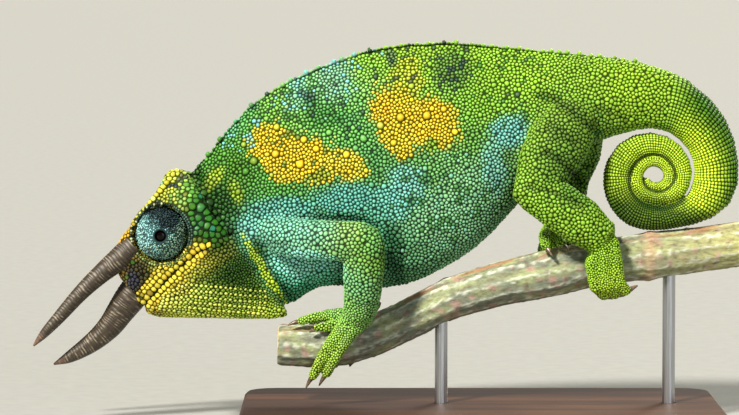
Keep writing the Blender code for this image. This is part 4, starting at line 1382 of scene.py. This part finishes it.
# a wet cornea over a dark iris, which gives one small bright glint
def wetEye():
    made, tree, shader = newMaterial("wet_cornea", Roughness=0.05, IOR=1.38, Specular_IOR_Level=0.3)
    addNode(tree, "ShaderNodeVertexColor", {"layer_name": "irisColour"}, feeds=shader.inputs["Base Color"])
    return made


eyeball = {
    "radius": 2.6,
    "deep": 0.8,  # how far its front lies behind the top of the lids
    "pupil": 0.72,  # radius of the pupil, and of the iris round it
    "iris": 0.98,
    "rings": 22,
    "sides": 40,
}


def eyeballMesh(side):
    # a ball deep in the opening of the lids, with a dark brown iris round a black pupil
    foot, _, reach, sign = turretPlace(side)
    ball, rings, sides = eyeball["radius"], eyeball["rings"], eyeball["sides"]
    middle = foot + np.array([0, sign * (reach - ball - eyeball["deep"]), 0])
    points, colours = [], []
    for k in range(rings):
        polar = 0.02 + k * 1.25 / (rings - 1)
        across, out = math.sin(polar), sign * math.cos(polar)
        for turn in np.arange(sides) * math.tau / sides:
            points.append(middle + ball * np.array([across * math.cos(turn), out, across * math.sin(turn)]))
        edge = polar * ball
        code = "#050403" if edge < eyeball["pupil"] else "#1C110A" if edge < eyeball["iris"] else "#050404"
        colours += [linear(code)] * sides
    faces = ringWalls(rings, sides)[:, ::-sign]
    cap = np.arange(sides)[None, ::sign]
    mesh = fastMesh(f"cornea_{side}", np.array(points), [faces, cap])
    paint(mesh, "irisColour", np.array(colours))
    return mesh


eyeMaterial = wetEye()
for side in ("left", "right"):
    dressEye(side)
    finished(newObject(f"cornea_{side}", eyeballMesh(side)), eyeMaterial, "eyeball", f"eyeball_{side}")


# horns: x, y, z along the middle and the radius there, in mm

hornForm = {
    "brow": [
        (-86.6, 4.0, 45.0, 3.1), (-88.6, 4.2, 43.2, 3.0), (-90.4, 4.4, 41.5, 2.9),
        (-95.0, 4.7, 37.7, 2.38), (-100.0, 5.0, 33.0, 2.0), (-105.0, 5.2, 27.4, 1.66),
        (-109.0, 5.3, 23.0, 1.18), (-111.7, 5.4, 19.9, 0.3),
    ],
    "nose": [
        (-84.4, 0.0, 35.8, 4.0), (-87.6, 0.0, 31.7, 3.95), (-90.3, 0.0, 28.0, 3.52),
        (-92.7, 0.0, 24.6, 3.14), (-95.8, 0.0, 21.5, 2.7), (-99.4, 0.0, 18.8, 2.22),
        (-103.4, 0.0, 16.4, 1.5), (-107.1, 0.0, 14.7, 0.32),
    ],
    "ring": 0.78,  # from one growth ring to the next
    "ridge": 0.085,  # how far a growth ring stands out at the base
    "step": 0.11,  # from one ring of points to the next
    "sides": 30,
}


def smoothPath(rows, step):
    # evenly spaced points on a Catmull-Rom curve through the rows
    rows = np.array(rows)
    padded = np.vstack([2 * rows[0] - rows[1], rows, 2 * rows[-1] - rows[-2]])
    fine = []
    for p0, p1, p2, p3 in zip(padded, padded[1:], padded[2:], padded[3:]):
        for t in np.linspace(0, 1, 40, endpoint=False):
            fine.append(0.5 * (2 * p1 + (p2 - p0) * t + (2 * p0 - 5 * p1 + 4 * p2 - p3) * t**2
                               + (3 * p1 - p0 - 3 * p2 + p3) * t**3))
    fine = np.array(fine + [rows[-1]])
    run = runAlong(fine[:, :3])
    places = np.arange(0, run[-1], step)
    return places, np.stack([np.interp(places, run, column) for column in fine.T], axis=1)


def hornMesh(name, rows, mirror, seed):
    # rings of points along the horn, whose radius rises and drops with each growth ring
    places, path = smoothPath(rows, hornForm["step"])
    path[:, 1] *= mirror
    way = unit(np.gradient(path[:, :3], axis=0))
    side = unit(np.cross(way, np.array([0.0, 1.0, 0.0])))
    other = np.cross(way, side)
    sides = hornForm["sides"]
    turn = np.arange(sides) * math.tau / sides
    along = places / places[-1]
    wander = roughness(np.stack([places, places * 0, places * 0 + seed], axis=1), 1.6) * 0.7
    grid = places[:, None] + 0.22 * np.sin(turn + seed)[None, :] + 0.12 * np.sin(3 * turn + seed)[None, :]
    phase = (grid / hornForm["ring"] + wander[:, None]) % 1.0
    ridge = np.sin(np.pi * phase ** 0.7)  # each ring rises slowly and drops sharply
    fade = (1 - along[:, None]) * 0.75 + 0.25
    radius = path[:, 3:4] * (1 + 0.02 * np.sin(5 * turn + seed)[None, :])
    radius = radius - hornForm["ridge"] + hornForm["ridge"] * 1.2 * ridge * fade
    radius = radius.clip(0.06)
    outward = np.cos(turn)[None, :, None] * side[:, None] + np.sin(turn)[None, :, None] * other[:, None]
    points = (path[:, None, :3] + radius[..., None] * outward).reshape(-1, 3)
    points = np.vstack([points, path[-1, :3] + way[-1] * 0.1, path[0, :3]])
    ring = np.arange(sides)
    after = (ring + 1) % sides
    last = len(places) - 1
    walls = ringWalls(len(places), sides)
    tip = np.stack([last * sides + ring, last * sides + after, np.full(sides, len(points) - 2)], axis=1)
    foot = np.stack([after, ring, np.full(sides, len(points) - 1)], axis=1)
    mesh = fastMesh(name, points, [walls, tip, foot])
    shine = np.concatenate([ridge.ravel(), [0.5, 0.5]])
    length = np.concatenate([np.repeat(along, sides), [1.0, 0.0]])
    paint(mesh, "hornColour", hornColours(points, shine, length, seed))
    return mesh


def hornColours(points, shine, length, seed):
    # pale on the ridges and dark in the grooves, partly wear and dirt and partly painted highlight and
    # shade, and reddish at the tip
    grey, pale, dark, brown, reddish = map(linear, ("#453A28", "#A89A84", "#1A130C", "#3A2C20", "#8E6A58"))
    mottle = roughness(points, 1.8, seed)
    worn = ramp(roughness(points, 1.3, seed + 3), -0.1, 0.4)
    dirtAndShade = ramp(roughness(points, 2.2, seed + 6), -0.7, 0.3)
    tone = np.tile(grey, (len(points), 1))
    # painted highlight on the ridges, patched with wear
    tone = mix(tone, pale, ramp(shine, 0.82, 0.98) * worn * 0.85)
    # painted shade in the grooves, patched with dirt
    tone = mix(tone, dark, (1 - shine) ** 1.6 * dirtAndShade * 0.85)
    tone = mix(tone, brown, ramp(mottle + 0.25 * ramp(-length, -0.5, 0.0), 0.0, 0.6) * 0.7)
    return mix(tone, reddish, ramp(length, 0.86, 1.0) * 0.7)


# weathered horn, laid down in rings, with a dull polish on the ridges
def ringedHorn():
    made, tree, shader = newMaterial("weathered_horn", Roughness=0.5, IOR=1.54)
    colour = addNode(tree, "ShaderNodeVertexColor", {"layer_name": "hornColour"})
    place = addNode(tree, "ShaderNodeTexCoord")
    # stains between two growth rings, with finer grit in them
    grainy = addNode(tree, "ShaderNodeTexNoise", Vector=place.outputs["Object"], Scale=scaleFor(0.667),
                     Detail=6.0)
    stained(tree, shader, colour, grainy, [(0.3, 0.55), (0.7, 1.12)])
    addNode(tree, "ShaderNodeBump", feeds=shader.inputs["Normal"], Height=grainy.outputs["Fac"],
            Strength=0.3, Distance=0.0001)
    return made


hornMaterial = ringedHorn()
for name, shape, mirror, seed in [
    ("horn_brow_left", "brow", -1, 1.0), ("horn_brow_right", "brow", 1, 2.3), ("horn_nose", "nose", 1, 4.1),
]:
    mesh = hornMesh("ringed_" + name, hornForm[shape], mirror, seed)
    finished(newObject("ringed_" + name, mesh), hornMaterial, "horn", name)
print("horns done")


# claws: dark horn, streaked and with a small hard shine
def darkClaw():
    made, tree, shader = newMaterial("dark_claw_horn", Roughness=0.3, IOR=1.54)
    place = addNode(tree, "ShaderNodeTexCoord")
    # streaks about a mm wide
    streak = addNode(tree, "ShaderNodeTexNoise", Vector=place.outputs["Object"], Scale=scaleFor(1.11),
                     Detail=3.0)
    addNode(tree, "ShaderNodeValToRGB", stops=[(0.35, "#3A2E22"), (0.6, "#75634C"), (0.8, "#A08C6C")],
            feeds=shader.inputs["Base Color"], Fac=streak.outputs["Fac"])
    return made


claw = {"longer": 1.5, "stouter": 1.45}  # than the solid, whose tip it keeps


def rootClaw(mesh):
    # made longer and stouter from its tip, so that its root lies inside the toe
    points = numbers(mesh.vertices, "co", 3)
    middle = points.mean(axis=0)
    axis = np.linalg.svd(points - middle, full_matrices=False)[2][0]
    along = (points - middle) @ axis
    wide = np.linalg.norm(points - middle - along[:, None] * axis, axis=1)
    if wide[along > np.quantile(along, 0.8)].mean() > wide[along < np.quantile(along, 0.2)].mean():
        axis, along = -axis, -along
    tip = along.max()
    back = tip - along
    across = points - middle - along[:, None] * axis
    points = middle + axis * (tip - back * claw["longer"])[:, None] + across * claw["stouter"]
    mesh.vertices.foreach_set("co", points.ravel())
    mesh.update()


clawMaterial = darkClaw()
for name in [name for name in nodes if slotOf[name] == "claw"]:
    piece = newObject("horny_" + name, nodes[name].data.copy())
    shape = welded(piece.data)
    shape.to_mesh(piece.data)
    shape.free()
    rounder = piece.modifiers.new("rounder", "SUBSURF")
    rounder.levels = rounder.render_levels = 2
    evaluated(piece)
    rootClaw(piece.data)
    smoothed(piece.data)
    finished(piece, clawMaterial, "claw", name)
print("claws done")


# perch: a cut length of living branch, with ribs along it and a leaf scar

branch = {
    "rows": [  # x, z of the middle and the radius, in mm
        (-51.0, 19.6, 5.6), (-43.0, 19.3, 5.8), (-35.0, 19.6, 5.8), (-27.0, 22.0, 5.7), (-20.0, 25.2, 5.5),
        (-7.5, 31.4, 5.7), (5.0, 35.0, 6.0), (17.5, 37.7, 6.5), (30.0, 40.4, 6.1), (42.5, 42.0, 6.4),
        (55.0, 43.6, 6.1), (72.5, 46.0, 6.2),
    ],
    "voxel": 0.5,  # size of the cells of the finer mesh
    "ribs": 11,
    "rib": 0.24,  # height of a rib
    "scar": 42.0,  # x of the ring left by a leaf
}


def lengthwise(along, turn, stretch, radius=6):
    # round and along the branch, as points whose noise is drawn out along it
    return np.stack([along * stretch, np.cos(turn) * radius, np.sin(turn) * radius], axis=1)


def barkedPerch():
    # the solid made finer and smoother, then raised and sunk all round; its cut ends stay flat
    perch = newObject("bark_perch", nodes["perch"].data.copy())
    finer = perch.modifiers.new("finer", "REMESH")
    finer.mode = "VOXEL"
    finer.voxel_size = branch["voxel"] * mm
    evaluated(perch)
    points = numbers(perch.data.vertices, "co", 3) / mm
    points = neighbourMean(points, numbers(perch.data.edges, "vertices", 2, np.int64), 6)
    places, path = smoothPath([(x, 0.0, z, radius) for x, z, radius in branch["rows"]], 0.5)
    distance = ((points[:, None, [0, 2]] - path[None, :, [0, 2]]) ** 2).sum(axis=2)
    nearest = distance.argmin(axis=1)
    along, middle = places[nearest], path[nearest]
    slope = np.gradient(path, axis=0)[nearest]
    up = unit(np.stack([-slope[:, 2], slope[:, 0]], axis=1))
    rise = (points[:, 0] - middle[:, 0]) * up[:, 0] + (points[:, 2] - middle[:, 2]) * up[:, 1]
    turn = np.arctan2(rise, points[:, 1])
    out = np.hypot(rise, points[:, 1]) / middle[:, 3]
    wander = roughness(lengthwise(along, turn, 0.16), 2.5) * 0.9
    ribs = np.sin(turn * branch["ribs"] + wander * 2.4)
    fine = roughness(lengthwise(along, turn, 0.5), 0.7, 5.0)
    warts = ramp(roughness(points, 1.3, 9.0), 0.25, 0.6)
    scar = np.exp(-(((points[:, 0] - branch["scar"]) / 1.6) ** 2))
    normal = unit(np.stack([np.zeros(len(points)), points[:, 1], rise], axis=1))
    outward = np.stack([normal[:, 2] * up[:, 0], normal[:, 1], normal[:, 2] * up[:, 1]], axis=1)
    lift = branch["rib"] * (ribs - 1) * 0.5 + 0.12 * fine + 0.14 * warts - 0.15 + 0.25 * scar - 0.12
    points += outward * (lift * ramp(out, 0.8, 0.95))[:, None]
    movePoints(perch.data, points)
    smoothed(perch.data)
    ends = np.abs(points[:, 0] - np.where(points[:, 0] > 10, path[-1, 0], path[0, 0])) < 0.8
    tone = barkColours(points, along, turn, ribs, fine, warts, scar)
    wood = woodColours(out, np.sin(out * middle[:, 3] * 5.2 + 0.6 * fine))
    paint(perch.data, "barkColour", np.where((ends & (out < 0.88))[:, None], wood, tone))
    return perch


def barkColours(points, along, turn, ribs, fine, warts, scar):
    # grey, green and yellow patches, pale ribs with brown between them, pink spots and a rusty streak
    grey, green, yellow, pale = map(linear, ("#7C8470", "#98A274", "#C2BC72", "#DCE0CC"))
    brown, pink, rust, tan = map(linear, ("#6A5644", "#B08A80", "#A06848", "#C9A07E"))
    tone = np.tile(grey, (len(points), 1))
    tone = mix(tone, green, ramp(roughness(lengthwise(along, turn, 0.35, 5), 2.2, 2.0), -0.3, 0.4))
    tone = mix(tone, yellow, ramp(points[:, 0], 30, 70) * 0.6)
    tone = mix(tone, pale, ramp(ribs * 0.5 + fine, 0.1, 0.9) * 0.75)
    tone = mix(tone, brown, ramp(-ribs + fine * 0.8, 0.5, 1.5) * 0.6)
    tone = mix(tone, pink, ramp(roughness(points, 2.4, 12.0), 0.25, 0.5) * 0.65)
    broken = ramp(roughness(lengthwise(along, turn, 0.16), 1.4, 7.0), -0.2, 0.3)
    tone = mix(tone, rust, np.exp(-(((turn - 1.9) / 0.28) ** 2)) * broken * 0.8)
    tone = mix(tone, brown, warts * 0.6)
    return mix(tone, tan, scar * 0.5)


def woodColours(out, wave):
    # the cut faces: growth rings round a small brown pith
    sapwood, lateWood, pith = map(linear, ("#D9C49A", "#B79A6A", "#8A6A44"))
    wood = mix(np.tile(sapwood, (len(out), 1)), lateWood, (0.5 + 0.5 * wave) * 0.5)
    return mix(wood, pith, ramp(-out, -0.14, -0.06))


# thin living bark, dry and matte, with a grain that runs along the branch
def livingBark():
    made, tree, shader = newMaterial("living_bark", Roughness=0.78, IOR=1.45)
    colour = addNode(tree, "ShaderNodeVertexColor", {"layer_name": "barkColour"})
    place = addNode(tree, "ShaderNodeTexCoord")
    stretch = addNode(tree, "ShaderNodeMapping", Vector=place.outputs["Object"], Scale=(0.35, 1.0, 1.0))
    # cracks and cork cells 0.7 mm across and three times as long
    grainy = addNode(tree, "ShaderNodeTexNoise", Vector=stretch.outputs["Vector"], Scale=scaleFor(0.714),
                     Detail=7.0, Roughness=0.7)
    stained(tree, shader, colour, grainy, [(0.28, 0.42), (0.5, 0.95), (0.72, 1.25)])
    addNode(tree, "ShaderNodeBump", feeds=shader.inputs["Normal"], Height=grainy.outputs["Fac"],
            Strength=0.55, Distance=0.0002)
    return made


finished(barkedPerch(), livingBark(), "bark", "perch")
print("perch done")


# stand: an oiled walnut slab, whose satin finish shows the grain and the pores
def oiledWalnut():
    made, tree, shader = newMaterial("oiled_walnut", Roughness=0.42, IOR=1.5)
    place = addNode(tree, "ShaderNodeTexCoord")
    stretch = addNode(tree, "ShaderNodeMapping", Vector=place.outputs["Object"], Scale=(0.06, 1.0, 1.0))
    # growth rings 6 mm apart, and pores, which are finer in life and drawn coarser so that they show
    figure = addNode(tree, "ShaderNodeTexNoise", Vector=stretch.outputs["Vector"], Scale=scaleFor(6.25),
                     Detail=6.0, Distortion=0.8)
    pores = addNode(tree, "ShaderNodeTexNoise", Vector=stretch.outputs["Vector"], Scale=scaleFor(0.625),
                    Detail=3.0)
    tone = addNode(tree, "ShaderNodeValToRGB", stops=[(0.3, "#2A190F"), (0.5, "#452B1A"), (0.7, "#5E3E26")],
                   Fac=figure.outputs["Fac"])
    stained(tree, shader, tone, pores, [(0.35, 0.55), (0.5, 1.0)])
    addNode(tree, "ShaderNodeBump", feeds=shader.inputs["Normal"], Height=pores.outputs["Fac"],
            Strength=0.2, Distance=0.0001)
    return made


# brushed steel rods, whose fine lines run along them and soften their reflections
def brushedSteel():
    made, tree, shader = newMaterial("brushed_steel", Metallic=1.0)
    place = addNode(tree, "ShaderNodeTexCoord")
    stretch = addNode(tree, "ShaderNodeMapping", Vector=place.outputs["Object"], Scale=(1.0, 1.0, 0.02))
    # brush lines, which are finer in life and drawn coarser so that they show
    lines = addNode(tree, "ShaderNodeTexNoise", Vector=stretch.outputs["Vector"], Scale=scaleFor(0.25),
                    Detail=2.0)
    addNode(tree, "ShaderNodeValToRGB", stops=[(0.3, "#A9ABAE"), (0.7, "#C6C8CB")],
            feeds=shader.inputs["Base Color"], Fac=lines.outputs["Fac"])
    addNode(tree, "ShaderNodeMapRange", feeds=shader.inputs["Roughness"], Value=lines.outputs["Fac"],
            To_Min=0.26, To_Max=0.42)
    return made


def refinish(slot, material):
    # a material for solids that are kept as they are
    for name in nodes:
        if slotOf[name] == slot:
            for place in nodes[name].material_slots:
                place.material = material


refinish("stand_wood", oiledWalnut())
refinish("stand_steel", brushedSteel())


# floor, lights and camera

look = {
    "target": (-27.97, 0.0, 54.1),  # mm
    "distance": 900.0,
    "elevation": 4.0,  # degrees above the floor
    "lens": 175.4,
}


def pointAt(thing, target):
    thing.rotation_euler = (Vector(target) - thing.location).to_track_quat("-Z", "Y").to_euler()


def setCamera():
    camera = newObject("camera", bpy.data.cameras.new("camera"))
    camera.data.lens = look["lens"]
    camera.data.sensor_width = 36.0
    camera.data.clip_start = 0.01
    raised = math.radians(look["elevation"])
    target = Vector(look["target"]) * mm
    away = Vector((0, -math.cos(raised), math.sin(raised))) * look["distance"] * mm
    camera.location = target + away
    pointAt(camera, target)
    bpy.context.scene.camera = camera


lamps = {  # the way each light comes from, its angle in degrees, strength and colour
    "key": ((-405, -520, 560), 8.0, 6.2, "#FFF8EC"),
    "fill": ((435, -620, 100), 45.0, 0.85, "#F2F6FF"),
    "rim": ((275, 420, 360), 25.0, 3.1, "#FFF8E8"),
}


def setLights():
    # suns, so that every side of the floor is lit alike, and a weak even sky
    for name, (way, angle, strength, code) in lamps.items():
        data = bpy.data.lights.new(name, "SUN")
        data.angle = math.radians(angle)
        data.energy = strength
        data.color = linear(code)
        lamp = newObject(name, data)
        lamp.location = Vector(way) * mm
        pointAt(lamp, Vector((0, 0, 0)))
    world = bpy.data.worlds.new("studio")
    world.use_nodes = True
    world.node_tree.nodes["Background"].inputs["Color"].default_value = (0.86, 0.87, 0.88, 1)
    world.node_tree.nodes["Background"].inputs["Strength"].default_value = 0.2
    bpy.context.scene.world = world
    bpy.context.scene.view_settings.view_transform = "Standard"


def setFloor():
    # a sheet of matte paper that reaches past the horizon of any view
    wide = 40000
    corners = np.array([(-wide, -wide, 0), (wide, -wide, 0), (wide, wide, 0), (-wide, wide, 0)])
    paper = newObject("paper", fastMesh("paper", corners, [np.array([[0, 1, 2, 3]])]))
    made, tree, shader = newMaterial("matte_paper", Roughness=0.9)
    place = addNode(tree, "ShaderNodeTexCoord")
    # its fibres can't show, but the clouds of thicker and thinner paper do
    clouds = addNode(tree, "ShaderNodeTexNoise", Vector=place.outputs["Object"], Scale=scaleFor(4.17),
                     Detail=4.0)
    addNode(tree, "ShaderNodeValToRGB", stops=[(0.3, "#949693"), (0.7, "#9A9C99")],
            feeds=shader.inputs["Base Color"], Fac=clouds.outputs["Fac"])
    paper.data.materials.append(made)


setCamera()
setLights()
setFloor()
